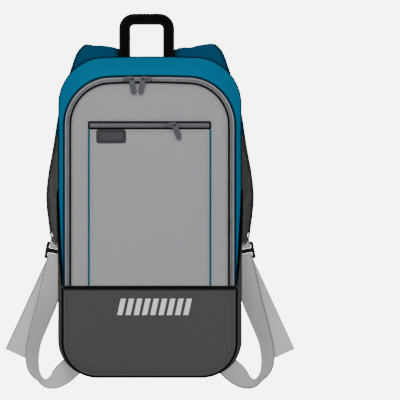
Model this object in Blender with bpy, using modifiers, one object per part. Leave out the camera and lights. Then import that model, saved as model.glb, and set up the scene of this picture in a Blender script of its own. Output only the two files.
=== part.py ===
"""Cooler backpack: a soft padded bag with two shoulder straps, webbing loops and a carry handle.

Metres, +Z up, front towards -Y. The origin is the underside of the carry handle's top band,
where a hook or a hand holds the bag. Everything below it hangs at negative Z.
"""

import math

import bmesh
import bpy
from mathutils import Vector

# General
GAP = 0.0003
COLLECTION_NAME = "cooler_backpack"

# Bag body, seen from the front: the back outline is the silhouette
BACK_HALF_WIDTH = 0.1259
BODY_TOP = -0.045
BODY_HEIGHT = 0.4407
BACK_TOP_RADIUS = 0.060
BACK_BOTTOM_RADIUS = 0.048
TOP_CROWN = 0.005
FRONT_INSET_SIDE = 0.0072
FRONT_INSET_TOP = 0.0264
FRONT_TOP_RADIUS = 0.0626
FRONT_BOTTOM_RADIUS = 0.0464
TAPER_POWER = 1.25
STRAIGHT_SHARE = 0.04
DEPTH_SHARES = (0.0, STRAIGHT_SHARE, 0.22, 0.42, 0.62, 0.81, 1.0)
BAG_DEPTH = 0.140
FRONT_CROWN = 0.008
CROWN_POWER = 3.0

# Padded walls and single layers
GUSSET_WALL = 0.005
BACK_WALL = 0.008
FRONT_WALL = 0.004
LAYER_WALL = 0.0015
TAPE_WALL = 0.001
POCKET_WALL = 0.0012
LABEL_WALL = 0.0008

# Main zip, counted inwards from the front outline
PIPING_RADIUS = 0.0014
OUTER_PIPING_INSET = 0.0003
ZIP_TAPE_WIDTH = 0.0062
ZIP_COIL_RADIUS = 0.0012
SEAM_Z = -0.3642
SEAM_BAND_HEIGHT = 0.0055
SEAM_BAND_WALL = 0.0015

# Side pockets
POCKET_EDGE_BACK_Z = -0.229
POCKET_EDGE_FRONT_Z = -0.361
BINDING_RADIUS = 0.0011

# Front pocket and its zip
FRONT_POCKET_HALF_WIDTH = 0.0838
FRONT_POCKET_ZIP_Z = -0.1400
POCKET_ZIP_HALF_HEIGHT = 0.0044
POCKET_WELT_RADIUS = 0.0012
POCKET_COIL_RADIUS = 0.0010
POCKET_PIPING_RADIUS = 0.0011
POCKET_PUFF = 0.0025
LABEL_WIDTH = 0.041
LABEL_HEIGHT = 0.019
LABEL_LEFT_SHARE = 0.123

# Zip sliders and pulls; a pull hangs from the inner end of its slider
SLIDER_LENGTH = 0.0145
SLIDER_HEIGHT = 0.0090
SLIDER_DEPTH = 0.0030
PULL_LENGTH = 0.0250
PULL_WIDTH = 0.0080
PULL_WALL = 0.0012
PULL_EYE_RADIUS = 0.0018
PULL_SEAT = 0.0050
MAIN_SLIDERS_X = -0.0169
MAIN_PULLS_APART = 0.0157
MAIN_PULL_LEAN = math.radians(10.0)
POCKET_SLIDER_X = 0.0298
POCKET_PULL_LEAN = math.radians(19.0)

# Carry handle
HANDLE_BAND = 0.0159
HANDLE_THICK = 0.010
HANDLE_OPENING = 0.0454
HANDLE_CENTRE_X = -0.0045
HANDLE_CORNER = 0.0130
HANDLE_LEG_END_Z = -0.088

# Shoulder straps
STRAP_WIDTH = 0.061
STRAP_THICK = 0.010
STRAP_TOP_Z = -0.033
STRAP_BOW = 0.064
STRAP_SPLAY = 0.1444
STRAP_SEAM_SHARE = 0.32
STRAP_TIP_BELOW_LOCK = 0.0049
EAR_TILT = math.radians(7.5)

# Ladder lock: the webbing buckle at the strap's end
LOCK_HALF_WIDTH = 0.0195
LOCK_HALF_HEIGHT = 0.0121
LOCK_THICK = 0.004
LOCK_BAR = 0.0042
LOCK_MIDDLE_BAR = 0.0066
LOCK_CENTRE_X = 0.1262
LOCK_CENTRE_Z = -0.3155
LOCK_BOW_SHARE = 0.531
LOCK_TILT = math.radians(10.5)
THREAD_CLEARANCE = 0.0004
TAB_FRONT_LENGTH = 0.0060
TAB_BACK_LENGTH = 0.0120
TAB_WIDTH = 0.030

# Webbing
WEBBING_WIDTH = 0.030
WEBBING_THICK = 0.0015
WEBBING_SWING = 0.0380
WEBBING_DROP = 0.1670
TAIL_SWING = 0.0616
TAIL_DROP = 0.1292
TAIL_SET_BACK = 0.0135

# Mesh steps
CORNER_STEPS = 6
SIDE_STEPS = 7
TOP_STEPS = 4
BOTTOM_STEPS = 3
SECTION_POINTS = 16
BAND_POINTS = 8

# Sizes worked out from the ones above
BODY_BOTTOM = BODY_TOP - BODY_HEIGHT
BACK_PANEL_REAR_Y = -HANDLE_THICK / 2 - GAP
BACK_PANEL_FRONT_Y = BACK_PANEL_REAR_Y - BACK_WALL
GUSSET_BACK_Y = BACK_PANEL_FRONT_Y - GAP
RIM_Y = GUSSET_BACK_Y - BAG_DEPTH + FRONT_CROWN
FRONT_HALF_WIDTH = BACK_HALF_WIDTH - FRONT_INSET_SIDE
FRONT_TOP = BODY_TOP - FRONT_INSET_TOP
PANEL_FACE = GAP + FRONT_WALL
TAPE_OUTER_INSET = OUTER_PIPING_INSET + PIPING_RADIUS + GAP
TAPE_INNER_INSET = TAPE_OUTER_INSET + ZIP_TAPE_WIDTH
FLAP_INSET = TAPE_INNER_INSET + GAP
TAPE_FACE = GAP + TAPE_WALL
HANDLE_OUTER_HALF = HANDLE_OPENING / 2 + HANDLE_BAND
LOCK_CENTRE_Y = LOCK_BOW_SHARE * STRAP_BOW
STRAP_END_Z = LOCK_CENTRE_Z + LOCK_HALF_HEIGHT - STRAP_TIP_BELOW_LOCK
STRAP_DROP = STRAP_TOP_Z - STRAP_END_Z
THREAD_OFFSET = LOCK_THICK / 2 + THREAD_CLEARANCE + WEBBING_THICK / 2
POCKET_TOP_Z = FRONT_POCKET_ZIP_Z - POCKET_ZIP_HALF_HEIGHT - POCKET_WELT_RADIUS - GAP
BAND_TOP_Z = SEAM_Z + SEAM_BAND_HEIGHT / 2
BAND_BOTTOM_Z = SEAM_Z - SEAM_BAND_HEIGHT / 2

# Shoulder strap route, top to end.
# drop: share of STRAP_DROP below STRAP_TOP_Z.  bow: share of STRAP_BOW behind the handle's plane.
# outer: share of STRAP_SPLAY out from the bag's centre.  width: share of STRAP_WIDTH, 0 reaches the handle.
# thick: share of STRAP_THICK.  tilt: share of EAR_TILT.
STRAP_ROUTE = (
    # drop, bow, outer, width, thick, tilt
    (0.228, 0.000, 0.790, 0.00, 0.90, 0.0),
    (0.102, 0.010, 0.753, 0.00, 1.00, 0.3),
    (0.041, 0.075, 0.706, 0.00, 1.00, 1.0),
    (0.010, 0.200, 0.660, 0.00, 1.00, 1.0),
    (0.000, 0.350, 0.632, 0.00, 1.00, 1.0),
    (0.017, 0.520, 0.664, 0.00, 1.00, 1.0),
    (0.073, 0.690, 0.735, 0.97, 1.00, 0.6),
    (0.160, 0.820, 0.795, 1.00, 1.00, 0.2),
    (0.296, 0.940, 0.872, 1.00, 1.00, 0.0),
    (0.509, 1.000, 0.938, 1.00, 1.00, 0.0),
    (0.636, 0.970, 0.981, 1.00, 1.00, 0.0),
    (0.760, 0.865, 1.000, 1.00, 1.00, 0.0),
    (0.888, 0.630, 0.974, 0.84, 0.90, 0.0),
    (0.945, 0.470, 0.957, 0.62, 0.55, 0.0),
    (0.980, 0.425, 0.926, 0.42, 0.32, 0.0),
    (1.000, 0.420, 0.869, 0.15, 0.28, 0.0),
)

# Webbing route from the ladder lock round the hanging loop to the bag's bottom corner.
# out: share of WEBBING_SWING beyond the lock's centre.  down: share of WEBBING_DROP below the lock.
# back: share of the way from the back panel to the lock.  turn: degrees about the webbing's length.
LOOP_ROUTE = (
    # out, down, back, turn
    (0.220, 0.149, 0.860, 5.0),
    (0.416, 0.324, 0.790, 20.0),
    (0.655, 0.485, 0.740, 35.0),
    (0.885, 0.643, 0.690, 48.0),
    (0.970, 0.738, 0.665, 51.0),
    (0.989, 0.821, 0.650, 54.0),
    (0.960, 0.885, 0.640, 58.0),
    (0.876, 0.936, 0.620, 66.0),
    (0.741, 0.976, 0.590, 74.0),
    (0.595, 0.999, 0.550, 76.0),
    (0.406, 1.002, 0.480, 58.0),
    (0.198, 0.988, 0.380, 38.0),
    (-0.039, 0.959, 0.240, 19.0),
    (-0.269, 0.919, 0.110, 5.0),
    (-0.502, 0.871, 0.000, 0.0),
    (-0.743, 0.821, 0.000, 0.0),
    (-0.998, 0.771, 0.000, 0.0),
)

# Webbing's free end, from the ladder lock outwards and down.
# out: share of TAIL_SWING.  down: share of TAIL_DROP.  back: share of TAIL_SET_BACK behind the lock.
TAIL_ROUTE = (
    # out, down, back
    (1.000, 1.000, 1.00),
    (0.913, 0.910, 1.00),
    (0.711, 0.700, 0.96),
    (0.498, 0.480, 0.85),
    (0.295, 0.270, 0.66),
    (0.122, 0.090, 0.42),
)


def clear_scene():
    for item in list(bpy.data.objects):
        bpy.data.objects.remove(item, do_unlink=True)


def material(name, colour, roughness, metallic=0.0):
    made = bpy.data.materials.new(name)
    made.use_nodes = True
    shader = made.node_tree.nodes["Principled BSDF"]
    shader.inputs["Base Color"].default_value = (*colour, 1.0)
    shader.inputs["Roughness"].default_value = roughness
    shader.inputs["Metallic"].default_value = metallic
    made.diffuse_color = (*colour, 1.0)
    return made


def add_object(name, mesh, finish):
    made = bpy.data.objects.new(name, mesh)
    bpy.data.collections[COLLECTION_NAME].objects.link(made)
    if finish is not None:
        made.data.materials.append(finish)
    return made


# Curves through the rows of a table
def smooth_rows(rows, steps):
    """Catmull-Rom curve through the rows, with a number of steps between each pair."""
    ends = [rows[0]] + list(rows) + [rows[-1]]
    out = []
    for i in range(1, len(ends) - 2):
        before, start, end, after = ends[i - 1:i + 3]
        for k in range(steps):
            t = k / steps
            out.append(tuple(
                0.5 * (2 * b + (c - a) * t + (2 * a - 5 * b + 4 * c - d) * t * t
                       + (3 * b - a - 3 * c + d) * t ** 3)
                for a, b, c, d in zip(before, start, end, after)))
    out.append(tuple(rows[-1]))
    return out


def between(start, end, share):
    return start + (end - start) * share


# The bag's outline
def outline_half(half_width, top, bottom, top_radius, bottom_radius):
    """Right half of the rounded outline as (x, z), from bottom centre to top centre."""
    points = []
    flat_bottom = half_width - bottom_radius
    for i in range(BOTTOM_STEPS):
        points.append((flat_bottom * i / BOTTOM_STEPS, bottom))
    for i in range(CORNER_STEPS):
        angle = -math.pi / 2 + math.pi / 2 * i / CORNER_STEPS
        points.append((flat_bottom + bottom_radius * math.cos(angle),
                       bottom + bottom_radius * (1 + math.sin(angle))))
    side_low = bottom + bottom_radius
    side_high = top - top_radius - TOP_CROWN
    for i in range(SIDE_STEPS):
        points.append((half_width, between(side_low, side_high, i / SIDE_STEPS)))
    flat_top = half_width - top_radius
    for i in range(CORNER_STEPS):
        angle = math.pi / 2 * i / CORNER_STEPS
        points.append((flat_top + top_radius * math.cos(angle),
                       top - top_radius * (1 - math.sin(angle))))
    for i in range(TOP_STEPS + 1):
        points.append((flat_top * (1 - i / TOP_STEPS), top))
    crown_start = BOTTOM_STEPS + CORNER_STEPS + SIDE_STEPS
    return [(x, z - TOP_CROWN * (x / half_width) ** 2 if i >= crown_start else z)
            for i, (x, z) in enumerate(points)]


def closed_outline(half):
    """Whole outline from its right half."""
    return half + [(-x, z) for x, z in reversed(half[1:-1])]


def taper_at(share):
    """How far the outline has narrowed towards the front one; straight at first."""
    return max(0.0, (share - STRAIGHT_SHARE) / (1 - STRAIGHT_SHARE)) ** TAPER_POWER


def body_half_width(share):
    return between(BACK_HALF_WIDTH, FRONT_HALF_WIDTH, taper_at(share))


def body_section(share, grow=0.0):
    """Right half of the body's outline at a share of its depth, back to front."""
    taper = taper_at(share)
    return outline_half(
        body_half_width(share) + grow,
        between(BODY_TOP, FRONT_TOP, taper) + grow,
        BODY_BOTTOM - grow,
        between(BACK_TOP_RADIUS, FRONT_TOP_RADIUS, taper) + grow,
        between(BACK_BOTTOM_RADIUS, FRONT_BOTTOM_RADIUS, taper) + grow)


def front_half_outline(inset):
    """Right half of the front outline, moved inwards by an inset."""
    return body_section(1.0, -inset)


# The crowned front
def bulge(x, z):
    """How far the front stands forward of its rim at a point."""
    middle = (FRONT_TOP + BODY_BOTTOM) / 2
    half_height = (FRONT_TOP - BODY_BOTTOM) / 2
    across = max(0.0, 1 - abs(x / FRONT_HALF_WIDTH) ** CROWN_POWER)
    up = max(0.0, 1 - abs((z - middle) / half_height) ** CROWN_POWER)
    return FRONT_CROWN * across * up


def front_point(x, z, proud):
    """Point on the crowned front, standing proud of the rim."""
    return Vector((x, RIM_Y - bulge(x, z) - proud, z))


def depth_y(share):
    return between(GUSSET_BACK_Y, RIM_Y, share)


# Mesh makers
def grid_mesh(name, grid, cyclic=False, centre=None):
    """Mesh of quads through rows of points, with an optional fan to one centre point."""
    mesh = bpy.data.meshes.new(name)
    form = bmesh.new()
    rows = [[form.verts.new(point) for point in row] for row in grid]
    columns = len(rows[0])
    spans = columns if cyclic else columns - 1
    for low, high in zip(rows, rows[1:]):
        for i in range(spans):
            j = (i + 1) % columns
            form.faces.new((low[i], low[j], high[j], high[i]))
    if centre is not None:
        hub = form.verts.new(centre)
        for i in range(spans):
            form.faces.new((rows[-1][i], rows[-1][(i + 1) % columns], hub))
    form.to_mesh(mesh)
    form.free()
    return mesh


def shell(name, grid, wall, finish, away_from, cyclic=False, centre=None, outwards=False):
    """Open surface thickened into a wall; away_from is a point on the wall's inner side."""
    mesh = grid_mesh(name, grid, cyclic, centre)
    face = mesh.polygons[len(mesh.polygons) // 2]
    if (face.center - Vector(away_from)).dot(face.normal) < 0:
        mesh.flip_normals()
    made = add_object(name, mesh, finish)
    thicken = made.modifiers.new("wall", "SOLIDIFY")
    thicken.thickness = wall
    thicken.offset = 1.0 if outwards else -1.0
    thicken.use_even_offset = True
    return made


def panel(name, outline, proud, wall, finish, rings=4):
    """Panel of the crowned front inside a closed outline, its back at the given height."""
    middle_x = 0.0
    middle_z = (max(z for _, z in outline) + min(z for _, z in outline)) / 2
    grid = []
    for ring in range(rings):
        share = 1 - ring / rings
        grid.append([front_point(between(middle_x, x, share), between(middle_z, z, share), proud)
                     for x, z in outline])
    hub = front_point(middle_x, middle_z, proud)
    return shell(name, grid, wall, finish, (0, 0, middle_z), cyclic=True, centre=hub, outwards=True)


def loft(name, rings, finish):
    """Closed solid through rings of points, flat at both ends."""
    mesh = bpy.data.meshes.new(name)
    form = bmesh.new()
    rows = [[form.verts.new(point) for point in ring] for ring in rings]
    count = len(rows[0])
    for low, high in zip(rows, rows[1:]):
        for i in range(count):
            j = (i + 1) % count
            form.faces.new((low[i], low[j], high[j], high[i]))
    form.faces.new(list(reversed(rows[0])))
    form.faces.new(rows[-1])
    bmesh.ops.recalc_face_normals(form, faces=form.faces)
    form.to_mesh(mesh)
    form.free()
    made = add_object(name, mesh, finish)
    made.data.shade_smooth()
    made.data.set_sharp_from_angle(angle=math.radians(40))
    return made


def tube(name, points, radius, finish, cyclic=False):
    curve = bpy.data.curves.new(name, "CURVE")
    curve.dimensions = "3D"
    curve.bevel_depth = radius
    curve.bevel_resolution = 1
    curve.use_fill_caps = not cyclic
    spline = curve.splines.new("POLY")
    spline.points.add(len(points) - 1)
    for knot, point in zip(spline.points, points):
        knot.co = (*point, 1.0)
    spline.use_cyclic_u = cyclic
    return add_object(name, curve, finish)


def section_ring(centre, across, through, half_width, half_thick, power, count):
    """Ring of points round a rounded flat section."""
    ring = []
    for i in range(count):
        angle = 2 * math.pi * (i + 0.5) / count
        c, s = math.cos(angle), math.sin(angle)
        u = math.copysign(abs(c) ** (2 / power), c) * half_width
        v = math.copysign(abs(s) ** (2 / power), s) * half_thick
        ring.append(centre + across * u + through * v)
    return ring


def tangents(points):
    out = []
    for i in range(len(points)):
        ahead = points[min(i + 1, len(points) - 1)]
        behind = points[max(i - 1, 0)]
        out.append((ahead - behind).normalized())
    return out


# Outlined plates, such as buckles and pulls
def rounded_box_outline(half_width, half_height, radius, steps, centre=(0.0, 0.0)):
    points = []
    for corner, (sx, sy) in enumerate(((1, 1), (-1, 1), (-1, -1), (1, -1))):
        for i in range(steps + 1):
            angle = math.pi / 2 * (corner + i / steps)
            points.append((centre[0] + sx * (half_width - radius) + radius * math.cos(angle),
                           centre[1] + sy * (half_height - radius) + radius * math.sin(angle)))
    return points


def plate(name, outlines, wall, finish):
    """Flat plate in its own XY plane with holes, made a mesh with its caps welded."""
    curve = bpy.data.curves.new(name + "_outline", "CURVE")
    curve.dimensions = "2D"
    curve.fill_mode = "BOTH"
    curve.extrude = wall / 2
    for outline in outlines:
        spline = curve.splines.new("POLY")
        spline.points.add(len(outline) - 1)
        for knot, (x, y) in zip(spline.points, outline):
            knot.co = (x, y, 0.0, 1.0)
        spline.use_cyclic_u = True
    guide = add_object(name + "_outline", curve, None)
    bpy.context.view_layer.update()
    evaluated = guide.evaluated_get(bpy.context.evaluated_depsgraph_get())
    mesh = bpy.data.meshes.new_from_object(evaluated)
    bpy.data.objects.remove(guide, do_unlink=True)
    form = bmesh.new()
    form.from_mesh(mesh)
    bmesh.ops.remove_doubles(form, verts=form.verts, dist=0.00001)
    bmesh.ops.recalc_face_normals(form, faces=form.faces)
    form.to_mesh(mesh)
    form.free()
    mesh.materials.clear()
    return add_object(name, mesh, finish)


# Body
def make_gusset(finish):
    """Padded side wall that runs all round between the back and the front."""
    grid = []
    for share in DEPTH_SHARES:
        ring = []
        for x, z in closed_outline(body_section(share)):
            forward = bulge(x, z) * share
            ring.append(Vector((x, depth_y(share) - forward, z)))
        grid.append(ring)
    middle = (0, depth_y(0.5), (BODY_TOP + BODY_BOTTOM) / 2)
    return shell("gusset", grid, GUSSET_WALL, finish, middle, cyclic=True)


def make_back_panel(finish):
    outline = closed_outline(body_section(0.0))
    middle_z = (BODY_TOP + BODY_BOTTOM) / 2
    grid = [[Vector((x * share, BACK_PANEL_FRONT_Y, between(middle_z, z, share)))
             for x, z in outline] for share in (1.0, 0.66, 0.33)]
    hub = (0, BACK_PANEL_FRONT_Y, middle_z)
    inner = (0, depth_y(0.5), middle_z)
    return shell("back_panel", grid, BACK_WALL, finish, inner, cyclic=True, centre=hub, outwards=True)


def make_front_flap(finish):
    """Light front panel inside the main zip, down to the seam band."""
    half = [point for point in front_half_outline(FLAP_INSET) if point[1] > BAND_TOP_Z]
    edge_x = half[0][0]
    low = SEAM_Z + GAP
    bottom = [(edge_x * i / BOTTOM_STEPS, low) for i in range(BOTTOM_STEPS + 1)]
    return panel("front_flap", closed_outline(bottom + half), GAP, FRONT_WALL, finish)


def base_half_outline(inset):
    """Right half of the base's front outline, bottom centre to the seam."""
    half = [point for point in front_half_outline(inset) if point[1] < BAND_BOTTOM_Z]
    return half + [(half[-1][0], SEAM_Z - GAP)]


def make_base_front(finish):
    half = base_half_outline(GAP)
    edge_x = half[-1][0]
    top = [(edge_x * (1 - i / BOTTOM_STEPS), SEAM_Z - GAP) for i in range(1, BOTTOM_STEPS + 1)]
    return panel("base_front", closed_outline(half + top), GAP, FRONT_WALL, finish)


def pocket_edge_z(share):
    return between(POCKET_EDGE_BACK_Z, POCKET_EDGE_FRONT_Z, share)


def side_name(side):
    return "left" if side < 0 else "right"


def make_side_pocket(side, finish):
    """Outer layer on the side with a slanted top edge, sewn to the base below."""
    low = BODY_BOTTOM + BACK_BOTTOM_RADIUS + GAP
    grid = []
    for share in DEPTH_SHARES:
        x = side * (body_half_width(share) + GAP)
        grid.append([Vector((x, depth_y(share), between(low, pocket_edge_z(share), k / 3)))
                     for k in range(4)])
    shell("side_pocket_" + side_name(side), grid, LAYER_WALL, finish, (0, 0, low), outwards=True)


def make_pocket_binding(side, finish):
    """Dark bound edge along the side pocket's slanted top."""
    clear = GAP + BINDING_RADIUS
    slope = (POCKET_EDGE_BACK_Z - POCKET_EDGE_FRONT_Z) / (GUSSET_BACK_Y - RIM_Y)
    rise = clear * math.hypot(1, slope)
    points = [Vector((side * (body_half_width(share) + clear), depth_y(share), pocket_edge_z(share) + rise))
              for share in DEPTH_SHARES]
    tube("pocket_binding_" + side_name(side), points, BINDING_RADIUS, finish)


def make_base_wrap(finish):
    """Outer layer round the bag's underside and bottom corners."""
    grid = []
    count = BOTTOM_STEPS + CORNER_STEPS + 1
    for share in DEPTH_SHARES:
        right = body_section(share, GAP)[:count]
        right[-1] = (right[-1][0], BODY_BOTTOM + BACK_BOTTOM_RADIUS)
        whole = [(-x, z) for x, z in reversed(right[1:])] + right
        grid.append([Vector((x, depth_y(share), z)) for x, z in whole])
    shell("base_wrap", grid, LAYER_WALL, finish, (0, depth_y(0.5), 0), outwards=True)


# Front seams and the main zip
def front_line(points, proud):
    return [front_point(x, z, proud) for x, z in points]


def arch(inset):
    """Line over the front from the seam on the right to the seam on the left."""
    half = [point for point in front_half_outline(inset) if point[1] > BAND_TOP_Z]
    half = [(half[0][0], SEAM_Z + GAP)] + half
    return half + [(-x, z) for x, z in reversed(half[:-1])]


def make_main_zip(dark, tape, coil):
    over_rim = GAP + PIPING_RADIUS
    tube("zip_piping", front_line(arch(OUTER_PIPING_INSET), over_rim), PIPING_RADIUS, dark)
    grid = [front_line(arch(TAPE_OUTER_INSET), GAP), front_line(arch(TAPE_INNER_INSET), GAP)]
    shell("main_zip_tape", grid, TAPE_WALL, tape, (0, 0, SEAM_Z), outwards=True)
    coil_inset = (TAPE_OUTER_INSET + TAPE_INNER_INSET) / 2
    coil_height = TAPE_FACE + GAP + ZIP_COIL_RADIUS
    tube("main_zip_coil", front_line(arch(coil_inset), coil_height), ZIP_COIL_RADIUS, coil)
    flap_height = PANEL_FACE + GAP + PIPING_RADIUS
    flap_line = arch(FLAP_INSET + PIPING_RADIUS / 2)
    flap_line[0] = (flap_line[0][0], BAND_TOP_Z + GAP)
    flap_line[-1] = (flap_line[-1][0], BAND_TOP_Z + GAP)
    tube("flap_piping", front_line(flap_line, flap_height), PIPING_RADIUS, dark)


def make_seam_band(finish):
    half = FRONT_HALF_WIDTH - OUTER_PIPING_INSET
    steps = 12
    grid = [[front_point(between(-half, half, i / steps), z, PANEL_FACE + GAP) for i in range(steps + 1)]
            for z in (BAND_BOTTOM_Z, BAND_TOP_Z)]
    shell("seam_band", grid, SEAM_BAND_WALL, finish, (0, 0, SEAM_Z), outwards=True)


def make_base_piping(finish):
    half = base_half_outline(-PIPING_RADIUS - GAP)
    line = [(-x, z) for x, z in reversed(half[1:])] + half
    points = front_line(line, GAP + PIPING_RADIUS)
    tube("base_piping", points, PIPING_RADIUS, finish)


# Front pocket
def pocket_point(x, z, proud):
    """Point on the front pocket, which puffs out a little over the flap."""
    middle = (POCKET_TOP_Z + BAND_TOP_Z) / 2
    half_height = (POCKET_TOP_Z - BAND_TOP_Z) / 2
    across = max(0.0, 1 - (x / FRONT_POCKET_HALF_WIDTH) ** 4)
    up = max(0.0, 1 - ((z - middle) / half_height) ** 4)
    return front_point(x, z, PANEL_FACE + GAP + proud + POCKET_PUFF * across * up)


def make_front_pocket(finish):
    half = FRONT_POCKET_HALF_WIDTH - POCKET_PIPING_RADIUS - GAP
    low = BAND_TOP_Z + GAP
    grid = [[pocket_point(between(-half, half, i / 10), between(low, POCKET_TOP_Z, k / 10), 0.0)
             for i in range(11)] for k in range(11)]
    shell("front_pocket", grid, POCKET_WALL, finish, (0, 0, low), outwards=True)


def make_pocket_piping(side, finish):
    height = PANEL_FACE + GAP + POCKET_PIPING_RADIUS
    x = side * FRONT_POCKET_HALF_WIDTH
    points = [front_point(x, between(POCKET_TOP_Z, BAND_TOP_Z + GAP, k / 6), height) for k in range(7)]
    tube("pocket_piping_" + side_name(side), points, POCKET_PIPING_RADIUS, finish)


def make_pocket_zip(welt, tape, coil):
    half = FRONT_POCKET_HALF_WIDTH
    loop = []
    for x, z in ((1, -1), (1, 1), (-1, 1), (-1, -1)):
        loop.append((x * half, FRONT_POCKET_ZIP_Z + z * POCKET_ZIP_HALF_HEIGHT))
        if x == z:
            loop += [(x * half * s, FRONT_POCKET_ZIP_Z + z * POCKET_ZIP_HALF_HEIGHT)
                     for s in (0.6, 0.2, -0.2, -0.6)]
    height = PANEL_FACE + GAP + POCKET_WELT_RADIUS
    tube("pocket_zip_welt", front_line(loop, height), POCKET_WELT_RADIUS, welt, cyclic=True)
    inner_half = half - POCKET_WELT_RADIUS - GAP
    inner_height = POCKET_ZIP_HALF_HEIGHT - POCKET_WELT_RADIUS - GAP
    grid = [[front_point(between(-inner_half, inner_half, i / 8), FRONT_POCKET_ZIP_Z + z * inner_height,
                         PANEL_FACE + GAP) for i in range(9)] for z in (-1, 1)]
    shell("pocket_zip_tape", grid, TAPE_WALL, tape, (0, 0, FRONT_POCKET_ZIP_Z), outwards=True)
    coil_height = PANEL_FACE + TAPE_FACE + GAP + POCKET_COIL_RADIUS
    points = [front_point(between(-inner_half, inner_half, i / 8), FRONT_POCKET_ZIP_Z, coil_height)
              for i in range(9)]
    tube("pocket_zip_coil", points, POCKET_COIL_RADIUS, coil)


def make_label(finish):
    left = -FRONT_POCKET_HALF_WIDTH * (1 - LABEL_LEFT_SHARE)
    top = POCKET_TOP_Z
    grid = [[pocket_point(left + LABEL_WIDTH * i / 4, top - LABEL_HEIGHT * k / 3, POCKET_WALL + GAP)
             for i in range(5)] for k in range(4)]
    shell("label", grid, LABEL_WALL, finish, (0, 0, top), outwards=True)


# Sliders and pulls
def make_slider(name, x, z, seat_height, finish):
    """Slider body that stands on the zip's coil."""
    centre = front_point(x, z, seat_height + GAP + SLIDER_DEPTH / 2)
    bpy.ops.mesh.primitive_cube_add(size=1.0, location=centre)
    made = bpy.context.object
    made.name = name
    made.scale = (SLIDER_LENGTH, SLIDER_DEPTH, SLIDER_HEIGHT)
    bpy.ops.object.transform_apply(location=False, rotation=False, scale=True)
    for owner in list(made.users_collection):
        owner.objects.unlink(made)
    bpy.data.collections[COLLECTION_NAME].objects.link(made)
    made.data.materials.append(finish)
    soften = made.modifiers.new("edges", "BEVEL")
    soften.width = SLIDER_DEPTH * 0.3
    soften.segments = 2


def make_pull(name, x, z, seat_height, lean, finish):
    """Flat pull that hangs from the slider's front, leaning to one side, with a round eye."""
    half_width = PULL_WIDTH / 2
    body = rounded_box_outline(half_width, PULL_LENGTH / 2, half_width * 0.9, 4)
    eye_z = PULL_LENGTH / 2 - half_width
    eye = [(PULL_EYE_RADIUS * math.cos(-math.pi * k / 5), eye_z + PULL_EYE_RADIUS * math.sin(-math.pi * k / 5))
           for k in range(10)]
    made = plate(name, [body, eye], PULL_WALL, finish)
    lean_down = Vector((math.sin(lean), 0, -math.cos(lean)))
    height = seat_height + GAP + SLIDER_DEPTH + GAP + PULL_WALL / 2
    low = front_point(x, z, height) + lean_down * (PULL_LENGTH / 2 - half_width)
    made.location = low
    made.rotation_euler = (math.pi / 2, -lean, 0)


def make_sliders(finish):
    coil_inset = (TAPE_OUTER_INSET + TAPE_INNER_INSET) / 2
    zip_z = FRONT_TOP - coil_inset
    seat = PANEL_FACE + GAP + 2 * PIPING_RADIUS
    for side in (-1, 1):
        x = MAIN_SLIDERS_X + side * MAIN_PULLS_APART / 2
        make_slider("main_slider_" + side_name(side), x + side * PULL_SEAT, zip_z, seat, finish)
        make_pull("main_pull_" + side_name(side), x, zip_z, seat, -side * MAIN_PULL_LEAN, finish)
    seat = PANEL_FACE + TAPE_FACE + GAP + 2 * POCKET_COIL_RADIUS
    make_slider("pocket_slider", POCKET_SLIDER_X, FRONT_POCKET_ZIP_Z, seat, finish)
    make_pull("pocket_pull", POCKET_SLIDER_X + PULL_SEAT, FRONT_POCKET_ZIP_Z, seat, POCKET_PULL_LEAN, finish)


# Carry handle
def make_carry_handle(finish):
    """Upright loop whose top band's underside is the origin."""
    leg_x = HANDLE_OPENING / 2 + HANDLE_BAND / 2
    band_z = HANDLE_BAND / 2
    line = [(-leg_x, between(HANDLE_LEG_END_Z, band_z - HANDLE_CORNER, k / 3)) for k in range(3)]
    for corner in (-1, 1):
        for k in range(6):
            angle = math.pi / 2 * (k / 5) if corner < 0 else math.pi / 2 * (1 - k / 5)
            line.append((corner * (leg_x - HANDLE_CORNER * (1 - math.cos(angle))),
                         band_z - HANDLE_CORNER * (1 - math.sin(angle))))
    line += [(leg_x, between(band_z - HANDLE_CORNER, HANDLE_LEG_END_Z, k / 3)) for k in range(1, 4)]
    points = [Vector((HANDLE_CENTRE_X + x, 0, z)) for x, z in line]
    rings = []
    for point, tangent in zip(points, tangents(points)):
        across = Vector((tangent.z, 0, -tangent.x))
        rings.append(section_ring(point, across, Vector((0, 1, 0)), HANDLE_BAND / 2, HANDLE_THICK / 2, 3.2,
                                  SECTION_POINTS))
    return loft("carry_handle", rings, finish)


# Shoulder straps
def strap_rings(side):
    handle_edge = HANDLE_CENTRE_X + side * (HANDLE_OUTER_HALF + GAP)
    rows = []
    for drop, bow, outer, width, thick, tilt in STRAP_ROUTE:
        outer_x = side * outer * STRAP_SPLAY
        inner_x = handle_edge if width == 0 else outer_x - side * width * STRAP_WIDTH
        rows.append((inner_x, outer_x, bow * STRAP_BOW, STRAP_TOP_Z - drop * STRAP_DROP,
                     thick * STRAP_THICK, tilt * EAR_TILT))
    rows = smooth_rows(rows, 2)
    points = [Vector(((inner + outer) / 2, y, z)) for inner, outer, y, z, _, _ in rows]
    rings = []
    for row, point, tangent in zip(rows, points, tangents(points)):
        inner_x, outer_x, _, _, thick, tilt = row
        along = Vector((0, tangent.y, tangent.z)).normalized()
        across = Vector((side * math.cos(tilt), 0, math.sin(tilt)))
        through = across.cross(along).normalized()
        half_width = abs(outer_x - inner_x) / 2 / math.cos(tilt)
        rings.append(section_ring(point, across, through, half_width, thick / 2, 4.0, SECTION_POINTS))
    return rings


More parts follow.
